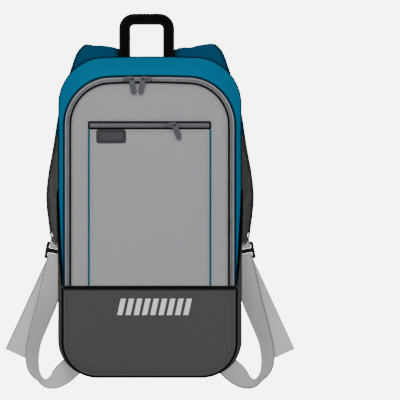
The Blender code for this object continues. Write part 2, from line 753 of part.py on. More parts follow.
def make_strap(side, top_finish, pad_finish):
    """Padded strap in two cloths that meet at a seam behind the bag."""
    rings = strap_rings(side)
    seam = round(len(rings) * (STRAP_SEAM_SHARE + 0.22))
    loft("strap_top_" + side_name(side), rings[:seam + 1], top_finish)
    step = (rings[seam + 1][0] - rings[seam][0]).normalized() * GAP
    lower = [[point + step for point in rings[seam]]] + rings[seam + 1:]
    loft("strap_pad_" + side_name(side), lower, pad_finish)


# Ladder locks and webbing
def lock_frame(side):
    """Centre of a ladder lock and the directions across and up it."""
    centre = Vector((side * LOCK_CENTRE_X, LOCK_CENTRE_Y, LOCK_CENTRE_Z))
    upward = Vector((-side * math.sin(LOCK_TILT), 0, math.cos(LOCK_TILT)))
    across = Vector((upward.z, 0, -upward.x))
    return centre, across, upward


def make_ladder_lock(side, finish):
    body = rounded_box_outline(LOCK_HALF_WIDTH, LOCK_HALF_HEIGHT, 0.002, 3)
    slot_half = (LOCK_HALF_HEIGHT - LOCK_BAR - LOCK_MIDDLE_BAR / 2) / 2
    slot_z = LOCK_MIDDLE_BAR / 2 + slot_half
    slots = [list(reversed(rounded_box_outline(LOCK_HALF_WIDTH - LOCK_BAR, slot_half, 0.0006, 1, (0, z))))
             for z in (slot_z, -slot_z)]
    made = plate("ladder_lock_" + side_name(side), [body] + slots, LOCK_THICK, finish)
    centre, _, upward = lock_frame(side)
    made.location = centre
    made.rotation_euler = (math.pi / 2, math.atan2(upward.x, upward.z), 0)


def flat_rings(points, turns):
    """Rings of a flat band along points; a turn rolls the band about its own length."""
    rings = []
    side_on = Vector((1, 0, 0))
    for point, tangent, turn in zip(points, tangents(points), turns):
        square_on = Vector((tangent.z, 0, -tangent.x))
        if square_on.length > 0.3:
            side_on = square_on.normalized() * math.copysign(1, square_on.dot(side_on))
        normal = tangent.cross(side_on).normalized()
        across = side_on * math.cos(turn) + normal * math.sin(turn)
        through = tangent.cross(across).normalized()
        rings.append(section_ring(point, across, through, WEBBING_WIDTH / 2, WEBBING_THICK / 2, 6.0, BAND_POINTS))
    return rings


def u_turn(side, bar_centre_height, direction):
    """Points of a band that turns round one bar of the lock, from its front to its back."""
    centre, across, upward = lock_frame(side)
    edge = bar_centre_height + direction * LOCK_BAR / 2
    points = []
    for k in range(7):
        angle = math.pi * k / 6
        points.append(centre + upward * (edge + direction * THREAD_OFFSET * math.sin(angle))
                      + Vector((0, -THREAD_OFFSET * math.cos(angle), 0)))
    return points, across


def make_strap_tab(side, finish):
    """Short band from the strap's end round the lock's top bar."""
    bar = LOCK_HALF_HEIGHT - LOCK_BAR / 2
    turn_points, across = u_turn(side, bar, -1)
    _, _, upward = lock_frame(side)
    front_end = turn_points[0] + upward * TAB_FRONT_LENGTH
    back_end = turn_points[-1] + upward * TAB_BACK_LENGTH
    points = [front_end, between(front_end, turn_points[0], 0.6)] + turn_points
    points += [between(turn_points[-1], back_end, 0.4), back_end]
    rings = []
    for point, tangent in zip(points, tangents(points)):
        through = tangent.cross(across).normalized()
        rings.append(section_ring(point, across, through, TAB_WIDTH / 2, WEBBING_THICK / 2, 6.0, BAND_POINTS))
    loft("strap_tab_" + side_name(side), rings, finish)


def make_webbing(side, finish):
    """One long band: free end, turn round the lock's lower bar, hanging loop, bag's corner."""
    bar = -(LOCK_HALF_HEIGHT - LOCK_BAR / 2)
    turn_points, _ = u_turn(side, bar, 1)
    _, _, upward = lock_frame(side)
    past_bar = upward * (LOCK_BAR * 1.5)
    low_z = LOCK_CENTRE_Z - LOCK_HALF_HEIGHT
    back_y = LOCK_CENTRE_Y + THREAD_OFFSET
    tail = [(side * (LOCK_CENTRE_X + out * TAIL_SWING), back_y + back * TAIL_SET_BACK,
             low_z - down * TAIL_DROP, 0.0) for out, down, back in TAIL_ROUTE]
    tail.append((*(turn_points[-1] - past_bar), 0.0))
    seat_y = BACK_PANEL_REAR_Y + GAP + WEBBING_THICK / 2
    loop = [(*(turn_points[0] - past_bar), 0.0)]
    for out, down, back, turn in LOOP_ROUTE:
        loop.append((side * (LOCK_CENTRE_X + out * WEBBING_SWING), between(seat_y, LOCK_CENTRE_Y, back),
                     low_z - down * WEBBING_DROP, math.radians(turn) * side))
    rows = smooth_rows(tail, 2) + [(*point, 0.0) for point in reversed(turn_points)] + smooth_rows(loop, 2)
    points = [Vector((row[0], max(row[1], seat_y), row[2])) for row in rows]
    loft("webbing_" + side_name(side), flat_rings(points, [row[3] for row in rows]), finish)


def main():
    clear_scene()
    parts = bpy.data.collections.new(COLLECTION_NAME)
    bpy.context.scene.collection.children.link(parts)

    teal = material("teal_cloth", (0.005, 0.130, 0.240), 0.85)
    teal_dark = material("strap_teal_cloth", (0.004, 0.075, 0.120), 0.85)
    light_grey = material("light_grey_cloth", (0.330, 0.335, 0.350), 0.85)
    dark_grey = material("dark_grey_cloth", (0.065, 0.068, 0.063), 0.85)
    black = material("black_webbing", (0.004, 0.004, 0.004), 0.80)
    navy = material("dark_piping", (0.008, 0.035, 0.055), 0.70)
    tape = material("zip_tape", (0.170, 0.180, 0.200), 0.85)
    coil = material("zip_coil", (0.090, 0.095, 0.100), 0.50)
    webbing = material("grey_webbing", (0.400, 0.400, 0.400), 0.80)
    plastic = material("black_plastic", (0.006, 0.006, 0.006), 0.40)
    metal = material("slider_metal", (0.120, 0.125, 0.130), 0.35, 1.0)
    tag = material("label_cloth", (0.070, 0.070, 0.075), 0.70)

    make_gusset(teal)
    make_back_panel(dark_grey)
    make_front_flap(light_grey)
    make_base_front(dark_grey)
    make_base_wrap(dark_grey)
    make_main_zip(navy, tape, coil)
    make_seam_band(black)
    make_base_piping(black)
    make_front_pocket(light_grey)
    make_pocket_zip(black, tape, coil)
    make_label(tag)
    make_sliders(metal)
    make_carry_handle(black)
    for side in (-1, 1):
        make_side_pocket(side, dark_grey)
        make_pocket_binding(side, black)
        make_pocket_piping(side, teal)
        make_strap(side, teal_dark, dark_grey)
        make_strap_tab(side, webbing)
        make_ladder_lock(side, plastic)
        make_webbing(side, webbing)


main()
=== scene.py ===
"""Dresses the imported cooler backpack: cloth, zips, straps, webbing and buckles around its fixed frame."""

import math

import bmesh
import bpy
from bpy.props import FloatProperty, FloatVectorProperty, IntProperty, PointerProperty
from mathutils import Euler, Matrix, Vector, noise


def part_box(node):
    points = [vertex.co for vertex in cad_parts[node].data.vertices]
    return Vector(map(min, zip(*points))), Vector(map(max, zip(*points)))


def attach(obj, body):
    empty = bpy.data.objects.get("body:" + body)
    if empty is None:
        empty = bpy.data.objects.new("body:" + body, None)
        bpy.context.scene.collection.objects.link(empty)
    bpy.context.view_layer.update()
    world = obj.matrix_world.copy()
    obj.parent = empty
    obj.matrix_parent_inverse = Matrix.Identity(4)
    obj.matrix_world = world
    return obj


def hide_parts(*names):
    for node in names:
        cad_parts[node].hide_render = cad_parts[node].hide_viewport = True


bl_info = {
    "name": "Cooler Backpack Dresser",
    "version": (1, 0, 0),
    "blender": (4, 5, 0),
    "location": "View3D > Sidebar > Backpack",
    "description": "Builds the cloth, zips, straps and webbing of a cooler backpack",
    "category": "Add Mesh",
}

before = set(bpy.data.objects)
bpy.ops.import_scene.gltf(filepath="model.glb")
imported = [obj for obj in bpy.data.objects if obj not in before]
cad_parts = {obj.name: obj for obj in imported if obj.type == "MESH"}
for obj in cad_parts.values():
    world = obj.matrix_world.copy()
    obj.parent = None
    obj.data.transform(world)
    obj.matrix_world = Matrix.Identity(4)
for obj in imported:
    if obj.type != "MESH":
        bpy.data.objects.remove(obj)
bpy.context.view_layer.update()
BODY = "root"

# Places read from the frame
GUSSET_LOW, GUSSET_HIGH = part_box("gusset")
PANEL_LOW, PANEL_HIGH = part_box("back_panel")
BAND_LOW, BAND_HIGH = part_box("seam_band")
POCKET_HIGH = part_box("front_pocket")[1]
WELT_LOW, WELT_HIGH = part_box("pocket_zip_welt")
LABEL_LOW, LABEL_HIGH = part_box("label")
HANDLE_LOW, HANDLE_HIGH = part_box("carry_handle")
LOCK_LOW, LOCK_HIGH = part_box("ladder_lock_right")

# The bag's form
GAP = 0.0003
BACK_HALF_WIDTH = GUSSET_HIGH.x
BODY_TOP = GUSSET_HIGH.z
BODY_BOTTOM = GUSSET_LOW.z
GUSSET_BACK_Y = GUSSET_HIGH.y
BACK_REAR_Y = PANEL_HIGH.y
BACK_FRONT_Y = PANEL_LOW.y
FRONT_CROWN = 0.008
CROWN_POWER = 3.0
RIM_Y = GUSSET_BACK_Y - 0.140 + FRONT_CROWN
FRONT_HALF_WIDTH = BACK_HALF_WIDTH - 0.0072
FRONT_TOP = BODY_TOP - 0.0264
TOP_CROWN = 0.005
BACK_TOP_RADIUS, FRONT_TOP_RADIUS = 0.060, 0.0626
BACK_BOTTOM_RADIUS, FRONT_BOTTOM_RADIUS = 0.048, 0.0464
TAPER_POWER = 1.25
STRAIGHT_SHARE = 0.04
FLAP_WALL = 0.004
PANEL_FACE = GAP + FLAP_WALL
PIPING_RADIUS = 0.0014
OUTER_PIPING_INSET = 0.0003
TAPE_OUTER_INSET = 0.0020
TAPE_INNER_INSET = 0.0082
FLAP_INSET = 0.0085
SEAM_Z = (BAND_LOW.z + BAND_HIGH.z) / 2
BAND_TOP_Z = BAND_HIGH.z
BAND_BOTTOM_Z = BAND_LOW.z
POCKET_EDGE_BACK_Z = -0.229
POCKET_EDGE_FRONT_Z = -0.361
POCKET_HALF_WIDTH = 0.0838
POCKET_TOP_Z = POCKET_HIGH.z
POCKET_PUFF = 0.0025
ZIP_CENTRE_Z = (WELT_LOW.z + WELT_HIGH.z) / 2


def between(start, end, share):
    return start + (end - start) * share


def linear(red, green, blue):
    """A colour picked in screen values, as the renderer's own."""
    def channel(value):
        value /= 255
        return value / 12.92 if value <= 0.04045 else ((value + 0.055) / 1.055) ** 2.4
    return channel(red), channel(green), channel(blue)


# Settings that a user would change
def colour_setting(name, description, picked):
    return FloatVectorProperty(name=name, description=description, subtype="COLOR", size=3,
                               min=0.0, max=1.0, default=linear(*picked))


def length_setting(name, description, default):
    return FloatProperty(name=name, description=description, unit="LENGTH", precision=5, default=default)


class BackpackColours(bpy.types.PropertyGroup):
    body: colour_setting("Body", "Teal cloth of the sides and top", (8, 119, 161))
    front: colour_setting("Front", "Light grey cloth of the flap and pocket", (157, 158, 162))
    base: colour_setting("Base", "Dark grey cloth of the base and side pockets", (77, 79, 76))
    # The strap tops are painted in shade: a darker copy of the body's teal, standing for the shade on the
    # rising ears.
    strap: colour_setting("Strap top", "Body teal in painted shade, for the strap tops", (2, 74, 109))
    band: colour_setting("Bindings", "Black bindings, handle and seam band", (4, 4, 5))
    piping: colour_setting("Piping", "Dark piping along the main zip", (10, 40, 56))
    accent: colour_setting("Accent piping", "Teal piping down the front pocket", (20, 88, 106))
    tape: colour_setting("Zip tape", "Woven tape of the zips", (174, 176, 181))
    coil: colour_setting("Zip coil", "Nylon coil of the zips", (126, 128, 133))
    webbing: colour_setting("Webbing", "Light grey strap webbing", (226, 227, 226))
    plastic: colour_setting("Buckle", "Black moulded buckles", (4, 4, 5))
    metal: colour_setting("Slider", "Grey lacquered zip metal", (70, 72, 76))
    pocket_tape: colour_setting("Pocket zip tape", "Darker tape of the pocket zip", (106, 107, 112))
    label: colour_setting("Label", "Plain dark tag", (42, 43, 46))
    print: colour_setting("Print", "Pale printed bars", (238, 239, 240))


class BackpackSizes(bpy.types.PropertyGroup):
    yarn: length_setting("Yarn pitch", "Distance between two yarns of the cloth", 0.0009)
    stitch: length_setting("Stitch", "Length of one stitch", 0.0030)
    tooth: length_setting("Tooth pitch", "Distance between two turns of the main zip's coil", 0.0014)
    rib: length_setting("Webbing rib", "Distance between two ribs of the webbing", 0.0016)
    wrinkle: length_setting("Wrinkle", "Height of the soft unevenness of the cloth", 0.0009)
    voxel: length_setting("Voxel", "Size of a cell when a pad is made ready for simulation", 0.0045)
    frames: IntProperty(name="Frames", description="Length of the pads' simulation", default=20, min=2)


def colours():
    return bpy.context.scene.backpack_colours


def sizes():
    return bpy.context.scene.backpack_sizes


# Shader expressions
class Wire:
    """A value inside a material, which Python's own operators continue."""

    def __init__(self, finish, socket):
        self.finish = finish
        self.socket = socket

    def sum_up(self, operation, first, second):
        return self.finish.node("ShaderNodeMath", {"operation": operation}, {0: first, 1: second})

    def __add__(self, other):
        return self.sum_up("ADD", self, other)

    def __radd__(self, other):
        return self.sum_up("ADD", other, self)

    def __sub__(self, other):
        return self.sum_up("SUBTRACT", self, other)

    def __rsub__(self, other):
        return self.sum_up("SUBTRACT", other, self)

    def __mul__(self, other):
        return self.sum_up("MULTIPLY", self, other)

    def __rmul__(self, other):
        return self.sum_up("MULTIPLY", other, self)

    def __pow__(self, other):
        return self.sum_up("POWER", self, other)

    def __gt__(self, other):
        return self.sum_up("GREATER_THAN", self, other)

    def wave(self):
        return self.finish.node("ShaderNodeMath", {"operation": "SINE"}, {0: self})

    def size(self):
        return self.finish.node("ShaderNodeMath", {"operation": "ABSOLUTE"}, {0: self})


class Finish:
    """One material: a Principled surface and the nodes that vary it."""

    def __init__(self, name):
        self.material = bpy.data.materials.new(name)
        self.material.use_nodes = True
        self.tree = self.material.node_tree
        self.shader = self.tree.nodes["Principled BSDF"]

    def node(self, kind, settings=None, values=None, output=0):
        made = self.tree.nodes.new(kind)
        for key, value in (settings or {}).items():
            if key == "stops":
                for stop, (place, level) in zip(made.color_ramp.elements, value):
                    stop.position = place
                    stop.color = (level, level, level, 1)
            else:
                setattr(made, key, value)
        for key, value in (values or {}).items():
            self.feed(made.inputs[key], value)
        return Wire(self, made.outputs[output])

    def feed(self, socket, value):
        if isinstance(value, Wire):
            self.tree.links.new(value.socket, socket)
        elif socket.type == "RGBA" and len(value) == 3:
            socket.default_value = (*value, 1.0)
        else:
            socket.default_value = value

    def set(self, **values):
        """Feeds the surface's sockets; an underscore stands for a space."""
        for key, value in values.items():
            self.feed(self.shader.inputs[key.replace("_", " ")], value)
        return self

    def split(self, wire):
        return [self.node("ShaderNodeSeparateXYZ", None, {0: wire}, i) for i in range(3)]

    def place(self):
        return self.node("ShaderNodeTexCoord", None, None, 3)

    def on_cloth(self):
        return self.node("ShaderNodeUVMap", {"uv_map": "cloth"})

    def cloud(self, at, scale, detail=3.0, roughness=0.5):
        return self.node("ShaderNodeTexNoise", None,
                         {"Vector": at, "Scale": scale, "Detail": detail, "Roughness": roughness})

    def tint(self, share, first, second):
        return self.node("ShaderNodeMix", {"data_type": "RGBA"}, {0: share, 6: first, 7: second}, 2)

    def relief(self, height, distance, strength=1.0, over=None):
        values = {"Height": height, "Distance": distance, "Strength": strength}
        if over is not None:
            values["Normal"] = over
        return self.node("ShaderNodeBump", None, values)


def shade(colour, factor):
    return tuple(min(1.0, channel * factor) for channel in colour)


def plain_weave(across, along, pitch):
    """Height of a plain weave, 0 in the gaps and 1 on the crowns of the yarns."""
    turn = math.pi / pitch
    over = ((across * turn).wave() * (along * turn).wave()) > 0.0
    warp = (across * turn).wave().size()
    weft = (along * turn).wave().size()
    return over * warp + (1 - over) * weft


def woven(name, colour, pitch, roughness=0.82, depth=0.00012, on_uv=True, fleck_and_weave_shading=0.10, fade=0.10):
    """Woven polyester: yarns painted darker in their gaps as shade and lighter on their crowns as a
    highlight, with random flecks, uneven dye and soft creases.
    """
    finish = Finish(name)
    spot = finish.on_cloth() if on_uv else finish.place()
    across, along, height = finish.split(spot)
    if not on_uv:
        across, along = across + height * 0.37, height + along
    weave = plain_weave(across, along, pitch)
    place = finish.place()
    dye = finish.cloud(place, 9.0, 4.0, 0.55)
    fleck_cloud = finish.cloud(place, 900.0, 2.0, 0.6)
    bloom = finish.cloud(place, 38.0, 5.0, 0.62)
    base = finish.tint(dye, shade(colour, 1 - fade), shade(colour, 1 + fade))
    # Painted shade in the gaps between the yarns and a painted highlight on their crowns, broken up by random
    # flecks.
    yarns = finish.tint(weave * (0.6 + fleck_cloud * 0.8), shade(colour, 1 - fleck_and_weave_shading * 2.2),
                        shade(colour, 1 + fleck_and_weave_shading))
    mixed = finish.node("ShaderNodeMix", {"data_type": "RGBA"}, {0: 0.5, 6: base, 7: yarns}, 2)
    crease = finish.relief(bloom, 0.0016, 0.35)
    cloth = finish.relief(weave, depth, 0.8, crease)
    finish.set(Base_Color=mixed, Roughness=roughness - 0.10 * weave + 0.12 * fleck_cloud, Normal=cloth,
               Specular_IOR_Level=0.0)
    return finish.material


def ribbed(name, colour, pitch, roughness=0.8, half=None):
    """Webbing and tape: ribs in slanting yarns, painted darker in their grooves as shade and lighter on their
    tops as a highlight; half is where the darker woven edge starts.
    """
    finish = Finish(name)
    across, along, _ = finish.split(finish.on_cloth())
    turn = 2 * math.pi / pitch
    rib = (along * turn + (across * turn * 0.9).wave() * 0.7).wave() * 0.5 + 0.5
    yarn = (across * turn * 1.3).wave() * 0.5 + 0.5
    place = finish.place()
    dye = finish.cloud(place, 14.0, 4.0, 0.6)
    fuzz = finish.cloud(place, 1400.0, 2.0, 0.7)
    weave = rib * 0.7 + yarn * 0.3
    # Painted shade in the grooves between the ribs and a painted highlight on their tops, mixed with random
    # fuzz.
    low, high = shade(colour, 0.72), shade(colour, 1.12)
    ribs = finish.tint(weave * 0.75 + fuzz * 0.25, low, high)
    body = finish.tint(dye, shade(colour, 0.9), shade(colour, 1.08))
    mixed = finish.node("ShaderNodeMix", {"data_type": "RGBA"}, {0: 0.55, 6: body, 7: ribs}, 2)
    if half:
        mixed = finish.tint((across.size() > half) * 0.85, mixed, shade(colour, 0.34))
    finish.set(Base_Color=mixed, Roughness=roughness - 0.12 * rib + 0.1 * fuzz,
               Normal=finish.relief(weave, 0.00022, 0.8), Specular_IOR_Level=0.1)
    return finish.material


def spacer(name, colour, cell):
    """Open air mesh: rows of round holes in a knitted face, with painted shade in the holes."""
    finish = Finish(name)
    place = finish.place()
    x, _, z = finish.split(place)
    turn = 2 * math.pi / cell
    holes = ((x * turn).wave() * (z * turn).wave()).size()
    knit = finish.cloud(place, 700.0, 2.0, 0.6)
    dye = finish.cloud(place, 12.0, 3.0, 0.5)
    # Painted shade in the holes: the face is made darker there instead of open, and lighter between them.
    face = finish.tint(holes, shade(colour, 1.25), shade(colour, 0.35))
    worn = finish.tint(dye * 0.4, face, shade(colour, 0.9))
    finish.set(Base_Color=worn, Roughness=0.82 + 0.12 * knit,
               Normal=finish.relief(1 - holes + knit * 0.2, 0.0005, 0.8), Specular_IOR_Level=0.08)
    return finish.material


def moulded(name, colour, roughness=0.38):
    """Moulded plastic: fine spark texture, paler on rubbed places."""
    finish = Finish(name)
    place = finish.place()
    grain = finish.cloud(place, 1800.0, 2.0, 0.5)
    rub = finish.cloud(place, 55.0, 5.0, 0.65)
    finish.set(Base_Color=finish.tint(rub ** 3.0, colour, shade(colour, 1.9)),
               Roughness=roughness + 0.14 * grain + 0.1 * rub,
               Normal=finish.relief(grain, 0.00006, 0.6), Specular_IOR_Level=0.22)
    return finish.material


def lacquered(name, colour):
    """Lacquered zinc: brushed, with rubbed bright spots."""
    finish = Finish(name)
    place = finish.place()
    brush = finish.cloud(place, 900.0, 3.0, 0.6)
    rub = finish.cloud(place, 160.0, 4.0, 0.6)
    finish.set(Base_Color=finish.tint(rub, shade(colour, 0.8), shade(colour, 1.35)),
               Metallic=0.35 + 0.4 * rub, Roughness=0.34 + 0.2 * brush,
               Normal=finish.relief(brush, 0.00004, 0.5))
    return finish.material


def rubbery(name, colour):
    """Soft rubber: fine grain under a thin dust."""
    finish = Finish(name)
    place = finish.place()
    grain = finish.cloud(place, 1300.0, 3.0, 0.6)
    dust = finish.cloud(place, 70.0, 4.0, 0.6)
    finish.set(Base_Color=finish.tint(dust, shade(colour, 0.85), shade(colour, 1.15)),
               Roughness=0.55 + 0.2 * grain, Normal=finish.relief(grain, 0.00008, 0.7))
    return finish.material


def printed(name, colour, base):
    """Screen print: ink that thins where the yarns cross."""
    finish = Finish(name)
    place = finish.place()
    worn = finish.cloud(place, 1100.0, 3.0, 0.7)
    patch = finish.cloud(place, 60.0, 3.0, 0.5)
    thin = finish.node("ShaderNodeValToRGB", {"stops": ((0.25, 1.0), (0.42, 0.0))},
                       {0: worn * 0.7 + patch * 0.3})
    finish.set(Base_Color=finish.tint(thin * 0.35, colour, base), Roughness=0.5 + 0.2 * worn,
               Normal=finish.relief(worn, 0.00005, 0.6))
    return finish.material


FINISHES = {}


def make_finishes():
    hue, size = colours(), sizes()
    FINISHES.update(
        body=woven("Teal polyester", hue.body, size.yarn),
        front=woven("Light grey polyester", hue.front, size.yarn, fade=0.04, fleck_and_weave_shading=0.06),
        base=woven("Dark grey polyester", hue.base, size.yarn * 1.25, depth=0.00018, fade=0.08),
        # Strap tops: the body's teal with painted shade.
        strap=woven("Teal polyester in painted shade", hue.strap, size.yarn, on_uv=False),
        pad=woven("Dark grey strap cloth", shade(hue.base, 1.35), size.yarn * 1.25, depth=0.00018,
                  on_uv=False),
        mesh=spacer("Dark air mesh", shade(hue.base, 0.75), 0.0034),
        band=ribbed("Black binding tape", hue.band, 0.0012),
        handle=ribbed("Black handle weave", hue.band, 0.0018),
        piping=woven("Dark piping cloth", hue.piping, 0.0007, on_uv=False),
        accent=woven("Teal piping cloth", hue.accent, 0.0007, on_uv=False),
        tape=ribbed("Zip tape weave", hue.tape, 0.0011),
        pocket_tape=ribbed("Pocket zip tape weave", hue.pocket_tape, 0.0011),
        coil=moulded("Nylon coil", hue.coil, 0.42),
        webbing=ribbed("Grey webbing", hue.webbing, size.rib, half=0.0133),
        plastic=moulded("Black acetal", hue.plastic),
        metal=lacquered("Grey lacquered zinc", hue.metal),
        label=rubbery("Dark rubber tag", hue.label),
        tag_face=ribbed("Tag weave", shade(hue.label, 2.9), 0.0010),
        # Edging of the strap tops: a dark binding, darker still than their teal in painted shade.
        strap_edge=woven("Dark edging on teal in painted shade", shade(hue.strap, 0.62), size.yarn, on_uv=False),
        pad_edge=woven("Dark grey edging", shade(hue.base, 0.5), size.yarn, on_uv=False),
        print=printed("Pale print", hue.print, hue.base),
        pale_thread=moulded("Grey thread", shade(hue.front, 0.62), 0.6),
        dark_thread=moulded("Dark thread", shade(hue.base, 0.45), 0.6),
        teal_thread=moulded("Teal thread", shade(hue.body, 0.6), 0.6),
        web_thread=moulded("Webbing thread", shade(hue.webbing, 0.6), 0.6))


# The bag's outline, as fine as the cloth needs
ARC_STEPS, SIDE_STEPS, TOP_STEPS, BOTTOM_STEPS = 18, 64, 14, 16


def outline_half(half_width, top, bottom, top_radius, bottom_radius):
    """Right half of the rounded outline as (x, z), from bottom centre to top centre."""
    points = []
    flat_bottom, flat_top = half_width - bottom_radius, half_width - top_radius
    for i in range(BOTTOM_STEPS):
        points.append((flat_bottom * i / BOTTOM_STEPS, bottom))
    for i in range(ARC_STEPS):
        angle = math.pi / 2 * (i / ARC_STEPS - 1)
        points.append((flat_bottom + bottom_radius * math.cos(angle),
                       bottom + bottom_radius * (1 + math.sin(angle))))
    side_low, side_high = bottom + bottom_radius, top - top_radius - TOP_CROWN
    for i in range(SIDE_STEPS):
        points.append((half_width, between(side_low, side_high, i / SIDE_STEPS)))
    for i in range(ARC_STEPS):
        angle = math.pi / 2 * i / ARC_STEPS
        points.append((flat_top + top_radius * math.cos(angle), top - top_radius * (1 - math.sin(angle))))
    for i in range(TOP_STEPS + 1):
        points.append((flat_top * (1 - i / TOP_STEPS), top))
    crown_start = BOTTOM_STEPS + ARC_STEPS + SIDE_STEPS
    return [(x, z - TOP_CROWN * (x / half_width) ** 2 if i >= crown_start else z)
            for i, (x, z) in enumerate(points)]


def closed_outline(half):
    return half + [(-x, z) for x, z in reversed(half[1:-1])]


def taper_at(share):
    return max(0.0, (share - STRAIGHT_SHARE) / (1 - STRAIGHT_SHARE)) ** TAPER_POWER


def body_half_width(share):
    return between(BACK_HALF_WIDTH, FRONT_HALF_WIDTH, taper_at(share))


def body_section(share, grow=0.0):
    taper = taper_at(share)
    return outline_half(
        body_half_width(share) + grow,
        between(BODY_TOP, FRONT_TOP, taper) + grow,
        BODY_BOTTOM - grow,
        between(BACK_TOP_RADIUS, FRONT_TOP_RADIUS, taper) + grow,
        between(BACK_BOTTOM_RADIUS, FRONT_BOTTOM_RADIUS, taper) + grow)


def front_half_outline(inset):
    return body_section(1.0, -inset)


def bulge(x, z):
    middle = (FRONT_TOP + BODY_BOTTOM) / 2
    half_height = (FRONT_TOP - BODY_BOTTOM) / 2
    across = max(0.0, 1 - abs(x / FRONT_HALF_WIDTH) ** CROWN_POWER)
    up = max(0.0, 1 - abs((z - middle) / half_height) ** CROWN_POWER)
    return FRONT_CROWN * across * up


def front_point(x, z, proud):
    return Vector((x, RIM_Y - bulge(x, z) - proud, z))


def pocket_point(x, z, proud):
    middle = (POCKET_TOP_Z + BAND_TOP_Z) / 2
    half_height = (POCKET_TOP_Z - BAND_TOP_Z) / 2
    across = max(0.0, 1 - (x / POCKET_HALF_WIDTH) ** 4)
    up = max(0.0, 1 - ((z - middle) / half_height) ** 4)
    return front_point(x, z, PANEL_FACE + GAP + proud + POCKET_PUFF * across * up)


def depth_y(share):
    return between(GUSSET_BACK_Y, RIM_Y, share)


def arch(inset, low=None):
    """Line over the front from the seam on the right to the seam on the left."""
    half = [point for point in front_half_outline(inset) if point[1] > BAND_TOP_Z]
    half = [(half[0][0], SEAM_Z + GAP if low is None else low)] + half
    return half + [(-x, z) for x, z in reversed(half[:-1])]


def base_line(inset):
    """Line round the base's front, from the seam on the left to the seam on the right."""
    half = [point for point in front_half_outline(inset) if point[1] < BAND_BOTTOM_Z]
    return mirrored(half + [(half[-1][0], SEAM_Z - GAP)])


def mirrored(half):
    """A line that starts at the middle, with its mirror image before it."""
    return [(-x, z) for x, z in reversed(half[1:])] + half


def evenly(start, end, count):
    """Values from start to end in a number of equal steps, both ends included."""
    return [between(start, end, i / count) for i in range(count + 1)]


def wall_point(x, z, share):
    """Point of the side wall's section at a share of the depth."""
    return Vector((x, depth_y(share) - bulge(x, z) * share, z))


def share_at(y):
    return (GUSSET_BACK_Y - y) / (GUSSET_BACK_Y - RIM_Y)


def corner_top(share):
    """Height at which the bottom corners end, at a share of the depth."""
    return BODY_BOTTOM + between(BACK_BOTTOM_RADIUS, FRONT_BOTTOM_RADIUS, taper_at(share))


def clamped(value):
    return max(0.0, min(1.0, value))


def softness(point, scale, seed=0.0):
    """Smooth random value from -1 to 1 that doesn't change between runs."""
    return noise.noise(Vector(point) * scale + Vector((seed, seed * 0.7, -seed)))


# Mesh makers
def finished(made, slot, *nodes, body=BODY):
    """Gives a piece its body and hides the frame's nodes that it stands for; the slot is not used."""
    if nodes:
        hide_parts(*nodes)
    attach(made, body)
    return made


def linked(name, data):
    """A new object in the scene."""
    made = bpy.data.objects.new(name, data)
    bpy.context.scene.collection.objects.link(made)
    return made


def crisp(made, degrees):
    """Smooth shading, with edges kept where the faces turn by more than an angle."""
    made.data.shade_smooth()
    made.data.set_sharp_from_angle(angle=math.radians(degrees))
    return made


def painted(made, material):
    made.data.materials.clear()
    made.data.materials.append(material)
    return made


def mesh_of(form, name):
    mesh = bpy.data.meshes.new(name)
    form.to_mesh(mesh)
    form.free()
    return mesh


def thickened(made, name, wall, even=False):
    """Gives a sheet its wall, inwards."""
    thicken = made.modifiers.new(name, "SOLIDIFY")
    thicken.thickness = wall
    thicken.offset = -1.0
    thicken.use_even_offset = even
    return plain_mesh(made)


def welded(made, turned=False):
    """Joins a curve's mesh where its points meet, and turns its faces outwards if asked."""
    form = bmesh.new()
    form.from_mesh(made.data)
    bmesh.ops.remove_doubles(form, verts=form.verts, dist=0.000005)
    if turned:
        bmesh.ops.recalc_face_normals(form, faces=form.faces)
    form.to_mesh(made.data)
    form.free()
    return made


def line_curve(name, lines, cyclic=False):
    """Curve of straight pieces through the points of each line."""
    curve = bpy.data.curves.new(name, "CURVE")
    curve.dimensions = "3D"
    for line in lines:
        spline = curve.splines.new("POLY")
        spline.points.add(len(line) - 1)
        for knot, point in zip(spline.points, line):
            knot.co = (*point, 1.0)
        spline.use_cyclic_u = cyclic
    return curve


def plain_mesh(made):
    """Applies what modifies an object, so its mesh is plain."""
    bpy.context.view_layer.update()
    evaluated = made.evaluated_get(bpy.context.evaluated_depsgraph_get())
    mesh = bpy.data.meshes.new_from_object(evaluated)
    made.modifiers.clear()
    if made.type == "MESH":
        made.data = mesh
        return made
    name, finish = made.name, made.data.materials[0] if made.data.materials else None
    bpy.data.objects.remove(made, do_unlink=True)
    fresh = linked(name, mesh)
    if finish is not None and not mesh.materials:
        mesh.materials.append(finish)
    return fresh


def grid_normals(grid, cyclic):
    rows, columns = len(grid), len(grid[0])
    out = []
    for i in range(rows):
        line = []
        for j in range(columns):
            up = grid[min(i + 1, rows - 1)][j] - grid[max(i - 1, 0)][j]
            if cyclic:
                over = grid[i][(j + 1) % columns] - grid[i][j - 1]
            else:
                over = grid[i][min(j + 1, columns - 1)] - grid[i][max(j - 1, 0)]
            line.append(over.cross(up).normalized())
        out.append(line)
    return out


